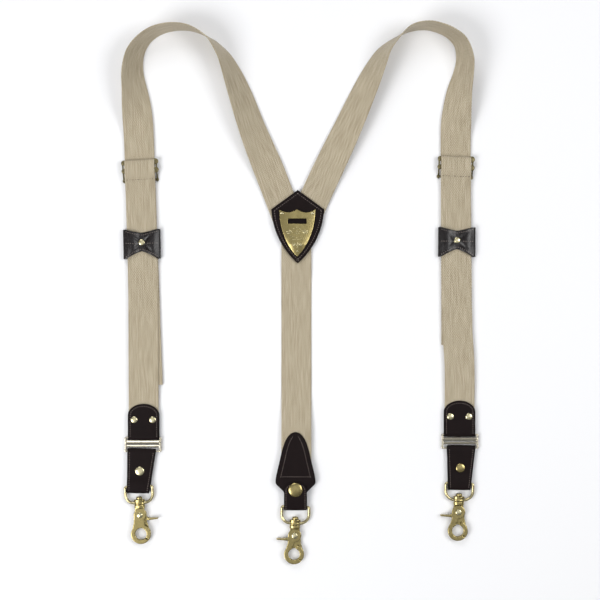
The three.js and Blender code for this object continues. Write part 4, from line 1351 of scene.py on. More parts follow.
@dataclass
class Yoke:
    """The leather shield where the straps cross, with its lining and its brass plate."""

    x: float = 1.7
    peak: float = 117.0
    shoulder: float = 94.8
    tip: float = 32.8
    half: float = 30.4
    plate_x: float = 1.1
    plate_top: float = 94.6
    plate_tip: float = 40.3
    plate_half: float = 20.8
    plate_thick: float = 1.2
    plate_crown: float = 1.9

    def outline(self) -> np.ndarray:
        """The shield, anticlockwise from its peak, about its own middle.

        Returns:
            The corners.
        """
        h, s, t = self.half, self.shoulder, self.tip
        left = np.linspace([0, self.peak], [-h, s], 30, endpoint=False)
        down = bezier((-h, s), (-h + 1.5, s - 28), (-h * 0.47, t + 12), (0, t))
        up = bezier((0, t), (h * 0.47, t + 12), (h - 1.5, s - 28), (h, s))
        right = np.linspace([h, s], [0, self.peak], 30, endpoint=False)
        return np.vstack([left, down, up, right])

    def plate_outline(self) -> np.ndarray:
        """The plate's edge, anticlockwise from the middle of its scalloped top.

        Returns:
            The corners.
        """
        h, s, t = self.plate_half, self.plate_top, self.plate_tip
        third = 2 / 3
        dip = np.array([-h / 2, s - 7])
        first = bezier(
            (0, s), (-h / 2 * third, s - 7 * third), (-h + h / 2 * third, s - 7 * third), (-h, s), 16
        )
        down = bezier((-h, s), (-h + 0.5, s - 26), (-h * 0.5, t + 10), (0, t))
        up = bezier((0, t), (h * 0.5, t + 10), (h - 0.5, s - 26), (h, s))
        last = bezier(
            (h, s), (h + dip[0] * third, s - 7 * third), (h / 2 * third, s - 7 * third), (0, s), 16
        )
        return np.vstack([first, down, up, last])

    def skin(self, low: float, thick: float, groove: float) -> Shape:
        """One leather shield from a height up.

        Args:
            low: Its underside's height.
            thick: Its thickness.
            groove: How far in its seam is pulled down, or 0.

        Returns:
            The closed shape.
        """
        y = self.peak - spaced(self.peak - self.tip, 0.6, 3.0)
        half = np.maximum(half_width(self.outline(), y), 0.02)
        centres = np.stack([0 * y, y, 0 * y + low + thick / 2], 1)
        return Strip(centres, RIGHTWARD, half, thick, edge=0.45, columns=64, round_steps=5,
                     crown=0.1, groove=groove).shape()

    def crown(self, points: np.ndarray) -> np.ndarray:
        """How far the plate's face stands proud of flat.

        Args:
            points: Points about the plate's middle.

        Returns:
            The rise at each, none at the edges.
        """
        x, y = points[:, 0], points[:, 1]
        reach = half_width(self.plate_outline(), np.clip(y, self.plate_tip, self.plate_top - 4))
        sideways = np.clip(1 - (x / (np.maximum(reach, 1.0) + 1)) ** 2, 0, 1)
        return self.plate_crown * sideways * np.clip((y - self.plate_tip) / 14, 0, 1)

    def plate_mesh(self, shift: np.ndarray) -> bpy.types.Mesh:
        """The plate: a slotted, crowned casting with softened edges.

        Args:
            shift: Where its middle goes.

        Returns:
            The mesh, in the frame's own place.
        """
        curve = bpy.data.curves.new("plate", "CURVE")
        curve.dimensions, curve.fill_mode = "2D", "BOTH"
        slot = np.array([(-10.65, 78.25), (-10.65, 83.75), (10.65, 83.75), (10.65, 78.25)])
        for ring in (self.plate_outline(), slot):
            spline = curve.splines.new("POLY")
            spline.points.add(len(ring) - 1)
            spline.points.foreach_set(
                "co", np.column_stack([ring * MM, 0 * ring]).astype(np.float32).ravel()
            )
            spline.use_cyclic_u = True
        curve.extrude = self.plate_thick / 2 * MM
        helper = bpy.data.objects.new("plate", curve)
        bpy.context.scene.collection.objects.link(helper)
        solid = bpy.data.objects.new("plate_solid", baked(helper))
        bpy.context.scene.collection.objects.link(solid)
        remesh = solid.modifiers.new("remesh", "REMESH")
        remesh.mode, remesh.voxel_size = "VOXEL", 0.3 * MM
        relax = solid.modifiers.new("relax", "SMOOTH")
        relax.iterations = 4
        mesh = baked(solid)
        co = np.empty(len(mesh.vertices) * 3, np.float32)
        mesh.vertices.foreach_get("co", co)
        points = co.reshape(-1, 3) / MM
        share = np.clip((points[:, 2] / self.plate_thick) + 0.5, 0, 1)
        points[:, 2] += PLATE_Z + self.plate_thick / 2 + self.crown(points) * share
        mesh.vertices.foreach_set("co", ((points + shift) * MM).astype(np.float32).ravel())
        return mesh

    def crown_at(self, line: np.ndarray) -> np.ndarray:
        """The height of the plate's face.

        Args:
            line: Points in plan, about the plate's middle.

        Returns:
            The face's height at each.
        """
        return PLATE_Z + self.plate_thick + self.crown(line)

    def ornament(self) -> list[np.ndarray]:
        """Mirrored scrolls, a stem and a lozenge, as lines in plan.

        Returns:
            The lines.
        """
        turns = np.linspace(0, 3.4 * math.pi, 90)
        radius = 0.5 + 2.3 * turns / turns[-1]
        scroll = np.stack([9.2 + radius * np.cos(turns + 2.4), 69.0 + radius * np.sin(turns + 2.4)], 1)
        small = 0.7 * radius
        low = np.stack([3.6 + small * np.cos(-turns + 0.6), 54.6 + small * np.sin(-turns + 0.6)], 1)
        mirror = np.array([-1, 1])
        stem = np.linspace([0, 50.5], [0, 57.0], 20)
        lozenge = np.array([[0, 65.6], [1.7, 67.6], [0, 69.6], [-1.7, 67.6], [0, 65.6]], float)
        return [scroll, scroll * mirror, low, low * mirror, stem, lozenge]

    def beads(self) -> list[np.ndarray]:
        """Two arches and two hanging swags, as lines in plan for rows of beads.

        Returns:
            The lines.
        """
        a = np.linspace(math.radians(15), math.radians(165), 60)
        arches = [np.stack([r * np.cos(a), 66.0 + r * np.sin(a)], 1) for r in (7.0, 4.0)]
        x = np.linspace(-10.5, 10.5, 60)
        swag = np.stack([x, 60.0 + 2.2 * (x / 10.5) ** 2], 1)
        upper_swag = np.stack([x * 0.7, 62.2 + 1.4 * (x / 10.5) ** 2], 1)
        return [*arches, swag, upper_swag]

    def build(self, shop: Workshop) -> None:
        """Builds the shield, its lining, its stitches, the plate and its pins.

        Args:
            shop: What to make it with.
        """
        dx, dy = frame_shift()
        own, plate = np.array([self.x + dx, dy, 0]), np.array([self.plate_x + dx, dy, 0])
        front = self.skin(YOKE_FACE, SKIN, YOKE_SEAM_IN).moved(lambda p: p + own)
        rear = self.skin(0.0, FACING, 0.0).moved(lambda p: p + own)
        looks = shop.finishes
        add_piece(
            "yoke_front_leather", mesh_of("yoke_front", front), looks.leather, "straps", Slot.LEATHER,
            "yoke_front"
        )
        add_piece(
            "yoke_rear_leather", mesh_of("yoke_rear", rear), looks.leather, "straps", Slot.LEATHER,
            "yoke_rear"
        )
        seam = inset(self.outline(), YOKE_SEAM_IN)
        seam = lifted(np.vstack([seam, seam[:1]]), YOKE_FACE + SKIN + 0.02) + own
        shop.sew("yoke_stitching", [seam], "straps", 2.7, 1.4)
        add_piece(
            "yoke_plate_cast", self.plate_mesh(plate), looks.antique, "straps", Slot.ANTIQUE, "yoke_plate"
        )
        # The relief and its beads belong to the antique-brass plate but take the paler cap finish: a painted
        # highlight, so that the raised lines read light.
        lines = [lifted(line, self.crown_at(line) - 0.05) + plate for line in self.ornament()]
        relief = shop.wire.run(lines, looks.pale, Radius=0.27 * MM, Seed=1)
        add_piece("yoke_plate_relief", relief, looks.pale, "straps", Slot.ANTIQUE)
        rows = [lifted(line, self.crown_at(line) + 0.02) + plate for line in self.beads()]
        beads = shop.stitches.run(rows, looks.pale, Pitch=1.6 * MM, Length=1.1 * MM, Width=0.9 * MM, Seed=3)
        add_piece("yoke_plate_beads", beads, looks.pale, "straps", Slot.ANTIQUE)
        face = PLATE_Z + self.plate_thick
        for name, x, y, oval in (
            ("left", -17.6, 90.0, 1.9), ("right", 17.6, 90.0, 1.9), ("bottom", 0.0, 46.8, 1.0)
        ):
            pin = rivet_shape(
                1.3, face + CAP_GAP, face + 1.3 + (0.8 if name == "bottom" else 0.0), 0.7, 0.7, YOKE_FACE,
                YOKE_FACE + 0.3
            )
            pin.points[:, 0] *= oval
            pin = pin.moved(lambda p, x=x, y=y: p + plate + [x, y, 0])
            add_piece(
                f"plate_pin_{name}_cast", mesh_of(f"plate_pin_{name}", pin), looks.pale, "straps", Slot.PALE,
                f"plate_pin_{name}"
            )


@dataclass
class BackEnd:
    """The leather facing, front and rear, that holds the back strap, and the riveted tab over it."""

    x: float = -0.9
    loop_y: float = -246.8
    tab_half: float = 13.2
    tab_up: float = 29.2
    rivet_up: float = 20.3
    edge: tuple[tuple[float, float], ...] = (
        (86.1, 0), (84.2, 5.5), (78.2, 10.5), (66.3, 15), (52.8, 18.2), (41.8, 20.8), (31.8, 22.8),
        (26.8, 22.4), (22.3, 18.0), (16.8, 13.2), (10.8, 12.4),
    )
    seam_foot: float = 35.0

    def outline(self) -> np.ndarray:
        """The facing's edge, anticlockwise from the top, measured up from the D-loop's bar.

        Returns:
            The corners.
        """
        right = [(x, y) for y, x in self.edge]
        left = [(-x, y) for x, y in right]
        whole = smooth_line([*reversed(right[1:]), (0, self.edge[0][0]), *left[1:]], 0.6)
        return np.roll(whole, -len(whole) // 2, 0)

    def build(self, shop: Workshop) -> None:
        """Builds the facings, the tab, the rivet and the stitches.

        Args:
            shop: What to make it with.
        """
        dx, dy = frame_shift()
        looks, base = shop.finishes, np.array([self.x + dx, self.loop_y + dy, 0])
        edge = self.outline()
        y = self.edge[0][0] - spaced(self.edge[0][0] - self.edge[-1][0], 0.6, 3.0)
        half = np.maximum(half_width(edge, y), 0.05)
        for part, low in (("front", BACK_HIGH_Z), ("rear", BACK_LOW_Z)):
            centres = np.stack([0 * y, y, 0 * y + low + FACING / 2], 1) + base
            strip = Strip(centres, RIGHTWARD, half, FACING, edge=0.42, columns=48, round_steps=5,
                          crown=0.1, groove=BACK_SEAM_IN if part == "front" else 0.0)
            node = f"back_facing_{part}"
            add_piece(
                f"{node}_leather", mesh_of(node, strip.shape()), looks.leather, "straps", Slot.LEATHER, node
            )
        rise = np.linspace(self.seam_foot, 80.5, 90)
        reach = half_width(edge, rise) - BACK_SEAM_IN
        sides = [np.stack([s * reach, rise], 1) for s in (1, -1)]
        foot = np.linspace(sides[0][0], sides[1][0], 60)
        height = BACK_HIGH_Z + FACING + 0.1
        shop.sew(
            "back_facing_stitching", [lifted(line, height) + base for line in (*sides, foot)], "straps", 2.5,
            1.2
        )
        self.build_tab(shop)

    def build_tab(self, shop: Workshop) -> None:
        """Builds the folded tab round the D-loop's bar, and its rivet.

        Args:
            shop: What to make it with.
        """
        place = Place.of_joint("back_loop_hinge")
        place = Place(place.x, place.y)
        arch = self.tab_half * 0.75

        tab = FoldedLeather([
            (self.tab_up, BACK_TOP_Z), (20, BACK_TOP_Z), (12, BACK_TOP_Z), (5, HOOK_Z + LOOP_BEND + 0.8),
            *reversed(half_turn(-0.6, HOOK_Z, LOOP_BEND, -1)), (8, BACK_SKIN_Z), (20, BACK_SKIN_Z),
            (self.tab_up, BACK_SKIN_Z),
        ], arched(self.tab_half, self.tab_up, arch), ease=3.0, groove=BACK_TAB_SEAM_IN, slant=place.put)
        looks = shop.finishes
        add_piece(
            "back_tab_leather", mesh_of("back_tab", tab.shape()), looks.leather, "straps", Slot.LEATHER,
            "back_tab"
        )
        line = arched_seam(self.tab_half, self.tab_up, arch, BACK_TAB_SEAM_IN, -1.5, 50)
        shop.sew("back_tab_stitching", [tab.seam(line)], "straps", 2.5, 1.2)
        top = BACK_TOP_Z + SKIN / 2
        rivet = rivet_shape(
            8.3, top + CAP_GAP, top + 2.3, 2.2, 5.0, FLOOR_CLEAR, FLOOR_CLEAR + CLINCH, 0, self.rivet_up
        )
        add_piece(
            "back_rivet_cap", mesh_of("back_rivet", rivet.moved(place.put)), looks.antique, "straps",
            Slot.ANTIQUE, "back_rivet"
        )


# ---------------------------------------------------------------- fronts


@dataclass(frozen=True)
class FrontPlan:
    """Where one front's pieces lie, with the small turns that they have in plan."""

    side: Side
    route: tuple[tuple[float, ...], ...]
    slide: tuple[float, float]
    skew: float
    keeper: tuple[float, float, float]
    end: float
    bend: tuple[tuple[float, float], ...]
    swing: float
    face_down: bool

    @property
    def end_y(self) -> float:
        """The connector's upper bar."""
        return self.slide[1] - FRONT_LENGTH


@dataclass
class Front:
    """One front: the folded lower strap with its slide, the keeper, the leather end, connector and tab."""

    plan: FrontPlan

    @property
    def name(self) -> str:
        """The start of this side's names."""
        return self.plan.side.prefix

    def build(self, shop: Workshop) -> None:
        """Builds every piece of the front.

        Args:
            shop: What to make it with.
        """
        ShoulderStrap(self.plan.side, self.plan.route).build(shop)
        self.build_strap(shop)
        self.build_castings(shop)
        self.build_keeper(shop)
        self.build_end(shop)
        self.build_tab(shop)

    def build_strap(self, shop: Workshop) -> None:
        """Builds the strap that is folded over the slide, and the stitches below its fold.

        Args:
            shop: What to make it with.
        """
        plan, (top, end) = self.plan, (self.plan.slide[1], self.plan.end_y)
        shares = [(top - share * FRONT_LENGTH, OVER_Z) for share in (0.2, 0.35, 0.5, 0.66)]
        line = smooth_line(
            [
                (top - 21, OVER_Z), (top - 8.8, OVER_Z), *half_turn(top + 1.3, 5.7, 1.7, 1),
                (top - 10.8, FOLD_Z), (top - 22, 5.5), (top - 33, OVER_Z), *shares, (end + 61, OVER_Z),
                (end + 41, END_WEB_Z), (end + 20.9, END_WEB_Z), (end + 5.2, END_WEB_Z),
            ],
            0.5
        )
        middle = [(top, plan.slide[0]), *plan.bend, (end + 78, plan.end), (end, plan.end)]
        bend = [(top - y, x) for y, x in middle]
        skew = math.tan(math.radians(plan.skew))
        dx, dy = frame_shift()

        def laid(points: np.ndarray) -> np.ndarray:
            """Lays local points in their place.

            Args:
                points: Points with y as in the design and x from the strap's middle.

            Returns:
                The points where the strap has them.
            """
            x, y, z = points.T
            t = np.clip((y - (top - 60)) / STRAP_HOLD, 0, 1)
            held = t * t * (3 - 2 * t)
            return np.stack([x + follow(bend, top - y)[:, 0] + dx, y + x * skew * held + dy, z], 1)

        centres = np.column_stack([np.zeros(len(line)), line])
        strip = webbing_strip(centres, RIGHTWARD)
        node = f"{self.name}_front_strap"
        piece = add_piece(f"{node}_webbing", mesh_of(node, strip.shape().moved(laid)), shop.finishes.webbing,
                          f"{self.name}_adjuster", Slot.WEBBING, node)
        float(strip.along()[-1]) * MM
        across = np.linspace(-14.6, 14.6, 40)
        upper = np.interp(top - FOLD_SEAM, line[::-1, 0][:-60], line[::-1, 1][:-60]) + WEB / 2
        row = laid(np.stack([across, 0 * across + top - FOLD_SEAM, 0 * across + upper + 0.12], 1))
        shop.sew(f"{node}_stitching", [row], f"{self.name}_adjuster", 3.2, 2.1, on_strap=True)

    def build_castings(self, shop: Workshop) -> None:
        """Builds the slide and the connector.

        Args:
            shop: What to make it with.
        """
        looks, name = shop.finishes, self.name
        # The slide and its lobes take the darker slide plating: tarnish and painted shade.
        add_piece(f"{name}_slide_cast", smooth_copy(f"{name}_slide", 0.3, 5), looks.dull, f"{name}_adjuster",
                  Slot.NICKEL, f"{name}_slide")
        x, y = self.plan.slide
        dx, dy = frame_shift()
        skew = math.radians(self.plan.skew)
        place = Place(x + dx, y + dy, 0.0, math.cos(skew), math.sin(skew))
        lobes = []
        for side, r in ((-1, 2.9), (1, 3.6)):
            button = [(0, 4.9), (r - 0.5, 4.9), (r, 5.3), (r, 5.9), (r - 0.6, 6.5), (0.4 * r, 6.7), (0, 6.7)]
            lobes += [lathe(button, side * LOBE_OUT, up, 28) for up in (0.8, -8.8)]
        add_piece(
            f"{name}_slide_lobes", mesh_of(f"{name}_slide_lobes", joined(lobes).moved(place.put)),
            looks.dull, f"{name}_adjuster", Slot.NICKEL
        )
        add_piece(
            f"{name}_connector_cast", smooth_copy(f"{name}_connector", 0.26, 5), looks.nickel,
            f"{name}_link", Slot.NICKEL, f"{name}_connector"
        )

    def build_keeper(self, shop: Workshop) -> None:
        """Builds the leather sleeve round both straps, its stitches and its stud.

        Args:
            shop: What to make it with.
        """
        x, y, turn = self.plan.keeper
        dx, dy = frame_shift()
        angle = math.radians(turn)
        place = Place(x + dx, y + dy, 0.0, math.cos(angle), math.sin(angle))
        half = WEB_WIDTH / 2 + KEEPER_PLAY + SKIN / 2
        low, high = FLOOR_CLEAR + SKIN / 2, OVER_Z + WEB / 2 + GAP + SKIN / 2
        corner = 1.7
        quarter = np.linspace(0, math.pi / 2, 9)
        ring = []
        for cx, cz, start in ((1, high, 0), (-1, high, 1), (-1, low, 2), (1, low, 3)):
            a = quarter + start * math.pi / 2
            z = cz + (corner if start in (2, 3) else -corner)
            ring.append(np.stack([cx * (half - corner) + corner * np.cos(a), z + corner * np.sin(a)], 1))
        ring = np.vstack([*ring, ring[0][:1]])
        run = travel(ring)
        at = np.linspace(0, run[-1], 260, endpoint=False)
        px, pz = np.interp(at, run, ring[:, 0]), np.interp(at, run, ring[:, 1])
        top, foot = self.keeper_edges(px)
        centres = np.stack([px, (top + foot) / 2, pz], 1)

        def swollen(points: np.ndarray) -> np.ndarray:
            """Bulges the two wings of the upper side, with creases that run from the stud to the corners.

            Args:
                points: Local points of the keeper.

            Returns:
                The points, swollen and in place.
            """
            sx, sy, sz = np.asarray(points, float).T
            u = np.clip(np.abs(sx) / half, 0, 1)
            swell = np.sin(math.pi * np.clip((u - 0.08) / 0.92, 0, 1)) ** 1.4
            wing = WING_RISE * swell * (1 - 0.3 * (sy / 17) ** 2)
            crease = 0.5 * np.exp(-(((np.abs(sy - 1) - 17 * u) / 1.7) ** 2)) * np.clip(1.3 - 1.6 * u, 0, 1)
            return place.put(np.stack([sx, sy, sz + np.where(sz > (low + high) / 2, wing - crease, 0)], 1))

        strip = Strip(centres, UPWARD, (top - foot) / 2, SKIN, edge=0.5, columns=30,
                      round_steps=5, closed=True, groove=TAB_SEAM_IN)
        looks, name, body = shop.finishes, self.name, f"{self.name}_keeper_ring"
        add_piece(f"{name}_keeper_leather", mesh_of(f"{name}_keeper", strip.shape().moved(swollen)),
                  looks.keeper_leather, body, Slot.LEATHER, f"{name}_keeper")
        sx = np.linspace(-half + 3.2, half - 3.2, 80)
        edge_top, edge_foot = self.keeper_edges(sx)
        rows = [
            lifted(np.stack([sx, edge], 1), high + SKIN / 2)
            for edge in (edge_top - TAB_SEAM_IN, edge_foot + TAB_SEAM_IN)
        ]
        for part in (sx[:24], sx[-24:]):
            rows.append(lifted(np.stack([part, 0 * part + 0.8], 1), high + SKIN / 2 + 0.03))
        rows = [swollen(row) for row in rows]
        shop.sew(f"{name}_keeper_stitching", rows, body, 2.6, 1.3)
        face = high + SKIN / 2
        stud = rivet_shape(3.6, face + CAP_GAP, face + 1.5, 1.2, 1.2, face - 1.3, face - 1.2, 0, 2.0)
        add_piece(
            f"{name}_keeper_stud_cap", mesh_of(f"{name}_keeper_stud", stud.moved(place.put)), looks.pale,
            body, Slot.PALE, f"{name}_keeper_stud"
        )

    @staticmethod
    def keeper_edges(x: np.ndarray) -> tuple[np.ndarray, np.ndarray]:
        """The keeper's notched upper and lower edges."""
        share = 1 - np.clip(np.abs(x) / (WEB_WIDTH / 2 + 0.6), 0, 1) ** 1.3
        return 17 - 4 * share, -17 + 8.6 * share

    def build_end(self, shop: Workshop) -> None:
        """Builds the leather end, its stitches and its two rivets.

        Args:
            shop: What to make it with.
        """
        looks, name, body = shop.finishes, self.name, f"{self.name}_adjuster"
        hinge = Place.of_joint(f"{name}_link_hinge")
        dx, _ = frame_shift()
        place = Place(self.plan.end + dx, hinge.y)
        length, arch, wide = 39.0, 13.0, 18.0

        leather = FoldedLeather(
            [
                (length, END_SKIN_Z), (20, END_SKIN_Z), (7, END_SKIN_Z),
                *reversed(half_turn(0, PIN_Z, PIN_BEND, -1)), (7, BACK_SKIN_Z), (20, BACK_SKIN_Z),
                (length, BACK_SKIN_Z),
            ],
            arched(wide, length, arch), ease=3.0, slant=place.put
        )
        node = f"{name}_leather_end"
        add_piece(f"{node}_skin", mesh_of(node, leather.shape()), looks.leather, body, Slot.LEATHER, node)
        line = arched_seam(wide, length, arch, SEAM_IN, 2.0, 60)
        shop.sew(f"{node}_stitching", [leather.seam(line)], body, 2.5, 1.2)
        top = END_SKIN_Z + SKIN / 2
        outer = {Side.LEFT: ("outer", "inner"), Side.RIGHT: ("inner", "outer")}[self.plan.side]
        for which, x in zip(outer, (-10.6, 10.6)):
            rivet = rivet_shape(
                4.0, top + CAP_GAP, top + 1.7, 1.6, 3.0, FLOOR_CLEAR, FLOOR_CLEAR + CLINCH, x, END_RIVET_UP
            )
            add_piece(
                f"{name}_end_rivet_{which}_cap",
                mesh_of(f"{name}_end_rivet_{which}", rivet.moved(place.put)), looks.pale, body, Slot.PALE,
                f"{name}_end_rivet_{which}"
            )

    def build_tab(self, shop: Workshop) -> None:
        """Builds the tab that holds the D-loop, its stitches and its snap.

        Args:
            shop: What to make it with.
        """
        name, body = self.name, f"{self.name}_tab"
        hinge = Place.of_joint(f"{name}_tab_hinge")
        slant = math.tan(math.radians(self.plan.swing * TAB_SLANT_SHARE))
        drop, toe, wide, narrow = 40.7, 6.7, 32.6, 25.6
        place = Place(hinge.x, hinge.y, 0.0, hinge.cosine, hinge.sine)

        def half(y: np.ndarray) -> np.ndarray:
            """Half the leather's width at y."""
            return (wide + (narrow - wide) * np.clip(-y / (drop + toe), 0, 1)) / 2

        def laid(points: np.ndarray) -> np.ndarray:
            """Lays local points in their place.

            Args:
                points: Points about the tab's hinge, as if it hung straight.

            Returns:
                The points, slanted and turned with the tab.
            """
            moved = np.array(points, float)
            moved[:, 0] -= moved[:, 1] * slant
            return place.put(moved)

        leather = FoldedLeather(
            [
                (-29.4, LAP_Z), (-SNAP_DOWN, LAP_Z), (-15.4, LAP_Z), (-7, 1.4),
                *half_turn(0.7, PIN_Z, PIN_BEND, 1), (-7, 5.0), (-15.4, TAB_SKIN_Z),
                (-SNAP_DOWN, TAB_SKIN_Z), (-29.4, TAB_SKIN_Z), (-drop + 4, 6.3),
                *reversed(half_turn(-drop - toe + LOOP_BEND, HOOK_Z, LOOP_BEND, -1)), (-drop + 4, 1.5),
                (-29.4, BACK_SKIN_Z), (-SNAP_DOWN, BACK_SKIN_Z), (-15.4, BACK_SKIN_Z),
            ],
            half, slant=laid
        )
        looks = shop.finishes
        add_piece(
            f"{name}_tab_leather", mesh_of(f"{name}_tab", leather.shape()), looks.leather, body,
            Slot.LEATHER, f"{name}_tab"
        )
        y = np.linspace(-2.0, -drop - 3.5, 90)
        rows = [leather.seam(np.stack([s * (half(y) - TAB_SEAM_IN), y], 1)) for s in (1, -1)]
        shop.sew(f"{name}_tab_stitching", rows, body, 2.5, 1.2)
        top = TAB_SKIN_Z + SKIN / 2
        snap = rivet_shape(
            5.3, top + CAP_GAP, top + 1.7, 2.0, 4.0, FLOOR_CLEAR, FLOOR_CLEAR + CLINCH, SNAP_DOWN * slant,
            -SNAP_DOWN
        )
        cap = looks.pale if self.plan.side is Side.LEFT else looks.antique
        add_piece(
            f"{name}_tab_snap_cap", mesh_of(f"{name}_tab_snap", snap.moved(place.put)), cap, body, Slot.PALE,
            f"{name}_tab_snap"
        )


# ---------------------------------------------------------------- hooks


@dataclass
class HookSet:
    """A D-loop and its swivel trigger hook."""

    name: str
    face_down: bool = False
    half: float = 15.6
    drop: float = 18.6
    belly: float = 10.0
    wire: float = 1.7

    def bow(self) -> np.ndarray:
        """The D-loop's closed middle line about its bar.

        Returns:
            The points of the line, the last on the first.
        """
        h, d, b, r = self.half, self.drop, self.belly, 1.6
        corners = [
            (-h + b, -d + b, b, math.pi), (h - b, -d + b, b, 1.5 * math.pi), (h - r, -r, r, 0),
            (-h + r, -r, r, 0.5 * math.pi)
        ]
        rows = []
        for x, y, radius, start in corners:
            a = start + np.linspace(0, math.pi / 2, 16)
            rows.append(np.stack([x + radius * np.cos(a), y + radius * np.sin(a), 0 * a], 1))
        line = np.vstack(rows)
        line = np.vstack([line, line[:1]])
        run = travel(line)
        at = np.linspace(0, run[-1], 150)
        return np.stack([np.interp(at, run, line[:, n]) for n in range(3)], 1)

    def boss(self) -> Shape:
        """The flattened barrel at the foot of the D-loop, bored for the hook's stud.

        Returns:
            The closed shape, about the D-loop's bar.
        """
        r, bore, top, high = 6.3, 2.5, -14.5, 5.8
        profile = [
            (bore, 0), (r - 0.6, 0), (r - 0.15, 0.2), (r, 0.8), (r - 0.25, 1.4), (r - 0.25, high - 1.4),
            (r, high - 0.8), (r - 0.15, high - 0.2), (r - 0.6, high), (bore, high)
        ]
        turned = lathe(profile, 0, 0, 44, ring=True).points
        squash = np.where(np.hypot(turned[:, 0], turned[:, 1]) > bore + 0.1, 3.4 / r, 1.0)
        points = np.stack([turned[:, 0], top - high + turned[:, 2], turned[:, 1] * squash], 1)
        return Shape(points, lathe(profile, 0, 0, 44, ring=True).faces)

    def build(self, shop: Workshop) -> None:
        """Builds the loop, the hook's castings, its rivet and its spring.

        Args:
            shop: What to make it with.
        """
        looks, name = shop.finishes, self.name
        hinge = Place.of_joint(f"{name}_loop_hinge")
        bow = shop.wire.run([hinge.put(self.bow())], looks.gilt, Radius=self.wire * MM, Seed=1)
        add_piece(f"{name}_d_loop_wire", bow, looks.gilt, f"{name}_loop", Slot.ANTIQUE, f"{name}_d_loop")
        boss = mesh_of(f"{name}_boss", self.boss().moved(hinge.put))
        add_piece(f"{name}_d_loop_boss", boss, looks.antique, f"{name}_loop", Slot.ANTIQUE)
        pivot = Place.of_joint(
            f"{name}_trigger_pivot", across=(hinge.cosine, hinge.sine), face_down=self.face_down
        )
        arch = np.radians(np.linspace(128, 52, 16))
        crotch = np.stack([6.9 * np.cos(arch), -21.6 + 6.9 * np.sin(arch)], 1)
        crotch = np.vstack([crotch, [[5.5, -6.0], [-5.5, -6.0]]])
        web = prism(crotch, -GAP / 2 - CHEEK, -GAP / 2).moved(pivot.put)
        for part, body, cast_on in (("hook_body", "hook", web), ("hook_trigger", "trigger", None)):
            node = f"{name}_{part}"
            add_piece(
                f"{node}_cast", smooth_copy(node, 0.28, 12, cast_on), looks.antique, f"{name}_{body}",
                Slot.ANTIQUE, node
            )
        face = GAP / 2 + CHEEK
        rivet = rivet_shape(3.6, face + 0.1, face + 1.5, 2.0, 3.2, -face - 0.8, -face - 0.1)
        add_piece(
            f"{name}_hook_rivet_cap", mesh_of(f"{name}_hook_rivet", rivet.moved(pivot.put)), looks.pale,
            f"{name}_hook", Slot.PALE, f"{name}_hook_rivet"
        )
        a = np.linspace(0.3, 5.9, 60)
        coil = pivot.put(np.stack([3.75 * np.cos(a), 3.75 * np.sin(a), 0 * a + GAP / 2 + GAP + 0.45], 1))
        spring = shop.wire.run([coil], looks.steel, Radius=0.42 * MM, Seed=1)
        add_piece(
            f"{name}_hook_spring_wire", spring, looks.steel, f"{name}_hook", Slot.STEEL,
            f"{name}_hook_spring"
        )


# ---------------------------------------------------------------- studio


@dataclass
class Studio:
    """A white sweep seen from straight above, under a large soft light."""

    width: float = 0.6906
    height: float = 1.5
    centre: tuple[float, float] = (-0.0001, -0.0057)

    def build(self) -> None:
        """Adds the floor, the lights, the world and the camera."""
        scene = bpy.context.scene
        mesh = bpy.data.meshes.new("floor")
        r = 20.0
        mesh.from_pydata([(-r, -r, 0), (r, -r, 0), (r, r, 0), (-r, r, 0)], [], [(0, 1, 2, 3)])
        floor = bpy.data.objects.new("floor", mesh)
        mesh.materials.append(StudioPaper().make())
        scene.collection.objects.link(floor)
        world = bpy.data.worlds.new("studio")
        world.use_nodes = True
        world.node_tree.nodes.clear()
        tree = world.node_tree
        aim = add_node(
            tree, "ShaderNodeSeparateXYZ", {0: add_node(tree, "ShaderNodeTexCoord").outputs["Generated"]}
        )
        # A bright ceiling panel right above, and a dim room round it, for the metal to mirror.
        panel = add_node(
            tree, "ShaderNodeMapRange", {0: aim.outputs[2], 1: 0.93, 2: 0.995, 3: 0.24, 4: 1.15}
        ).outputs[0]
        sky = add_node(tree, "ShaderNodeBackground", {"Color": linear("#eef0f4"), "Strength": panel})
        add_node(tree, "ShaderNodeOutputWorld", {"Surface": sky.outputs[0]})
        scene.world = world
        self.lamp("key", (-1.2, -0.75, 1.5), 1.0, 25)
        self.lamp("fill", (1.15, 0.15, 1.5), 0.8, 13.5)
        self.lamp("back", (-0.5, 1.5, 1.5), 1.0, 12.5)
        scene.view_settings.view_transform = "Standard"
        camera = bpy.data.cameras.new("camera")
        camera.sensor_width = 36
        camera.lens = camera.sensor_width * self.height / self.width
        holder = bpy.data.objects.new("camera", camera)
        holder.location = (*self.centre, self.height)
        scene.collection.objects.link(holder)
        scene.camera = holder

    @staticmethod
    def lamp(name: str, place: tuple[float, float, float], size: float, power: float) -> None:
        """Adds a square soft light that looks at the object.

        Args:
            name: The lamp's name.
            place: Where it hangs, in metres.
            size: The length of its side, in metres.
            power: Its power in watts.
        """
        light = bpy.data.lights.new(name, "AREA")
        light.shape, light.size, light.energy = "SQUARE", size, power
        holder = bpy.data.objects.new(name, light)
        holder.location = place
        x, y, z = place
        holder.rotation_euler = (math.atan2(math.hypot(x, y), z), 0, math.atan2(y, x) + math.pi / 2)
        bpy.context.scene.collection.objects.link(holder)


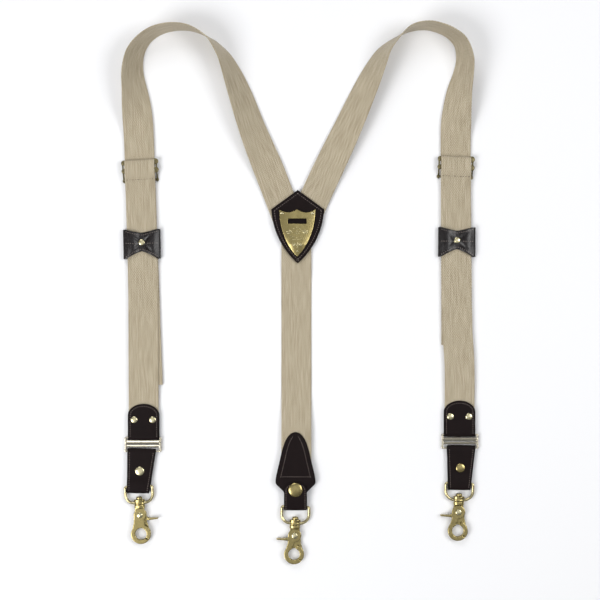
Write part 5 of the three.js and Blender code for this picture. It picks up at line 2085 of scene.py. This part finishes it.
FRONTS = (
    FrontPlan(
        side=Side.LEFT,
        route=(
            (-170.7, -107.2, 0, RUN_Z), (-174.3, -9, 0, RUN_Z), (-180, 152, 0, RUN_Z),
            (-181.3, 186.5, 3, RUN_Z), (-182.7, 209.5, 21, 1.8), (-184.5, 229, 38, 1.2),
            (-186.7, 251, 51, 0.8), (-183.6, 271.3, 62, 0.8), (-173.6, 286.8, 74, 0.8), (-159, 297, 81, 0.8),
            (-139.5, 301.6, 86, 0.8), (-119.8, 299.7, 91, 0.8), (-99.3, 289, 99, 0.8),
            (-88.6, 277.7, 109, 0.8), (-80.1, 265, 118.5, 0.8), (-66.5, 232.5, 137, 0.8),
            (-49.3, 184.3, 154.5, 1.4), (-28.8, 133.7, 177, YOKE_LOW_WEB), (-6.8, 76, 180, YOKE_LOW_WEB),
        ),
        slide=(-179.9, 148), skew=3.2, keeper=(-177.2, 54.9, 1.2), end=-175.3,
        bend=((100, -178.3), (48, -176.7), (-10, -175.6)), swing=-4.8, face_down=True,
    ),
    FrontPlan(
        side=Side.RIGHT,
        route=(
            (184, -60.8, 0, RUN_Z), (183.6, 30, 0, RUN_Z), (183.2, 152, 0, RUN_Z), (183.2, 186.5, 4, RUN_Z),
            (184, 207.3, 24, 1.8), (186.4, 228.8, 39.5, 1.2), (190.8, 250.3, 54, 0.8),
            (192.1, 265.9, 62, 0.8), (187.4, 283.2, 72, 0.8), (178.6, 292.4, 78.5, 0.8),
            (166.6, 299, 82, 0.8), (149.6, 303, 84, 0.8), (131.6, 300.2, 88, 0.8), (118.5, 292.2, 97, 0.8),
            (103.7, 278.7, 111, 0.8), (95.3, 266.1, 123, 0.8), (80.1, 234.8, 141, 0.8),
            (57.9, 185.8, 158, 1.8), (30.8, 128.9, 178, YOKE_HIGH_WEB), (6.6, 76, 180, YOKE_HIGH_WEB),
        ),
        slide=(183.2, 151.7), skew=-2.2, keeper=(184.3, 57.3, -0.5), end=187.4,
        bend=((90, 183.5), (30, 184), (-40, 184.9)), swing=-2.6, face_down=False,
    ),
)


def main() -> None:
    """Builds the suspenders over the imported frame, then the studio round them."""
    logging.basicConfig(level=logging.INFO)
    shop = Workshop(Finishes.make(), stitch_tree(), wire_tree())
    for plan in FRONTS:
        Front(plan).build(shop)
        HookSet(plan.side.prefix, plan.face_down).build(shop)
    BackStrap().build(shop)
    Yoke().build(shop)
    BackEnd().build(shop)
    HookSet("back").build(shop)
    Studio().build()


if __name__ == "__main__":
    main()
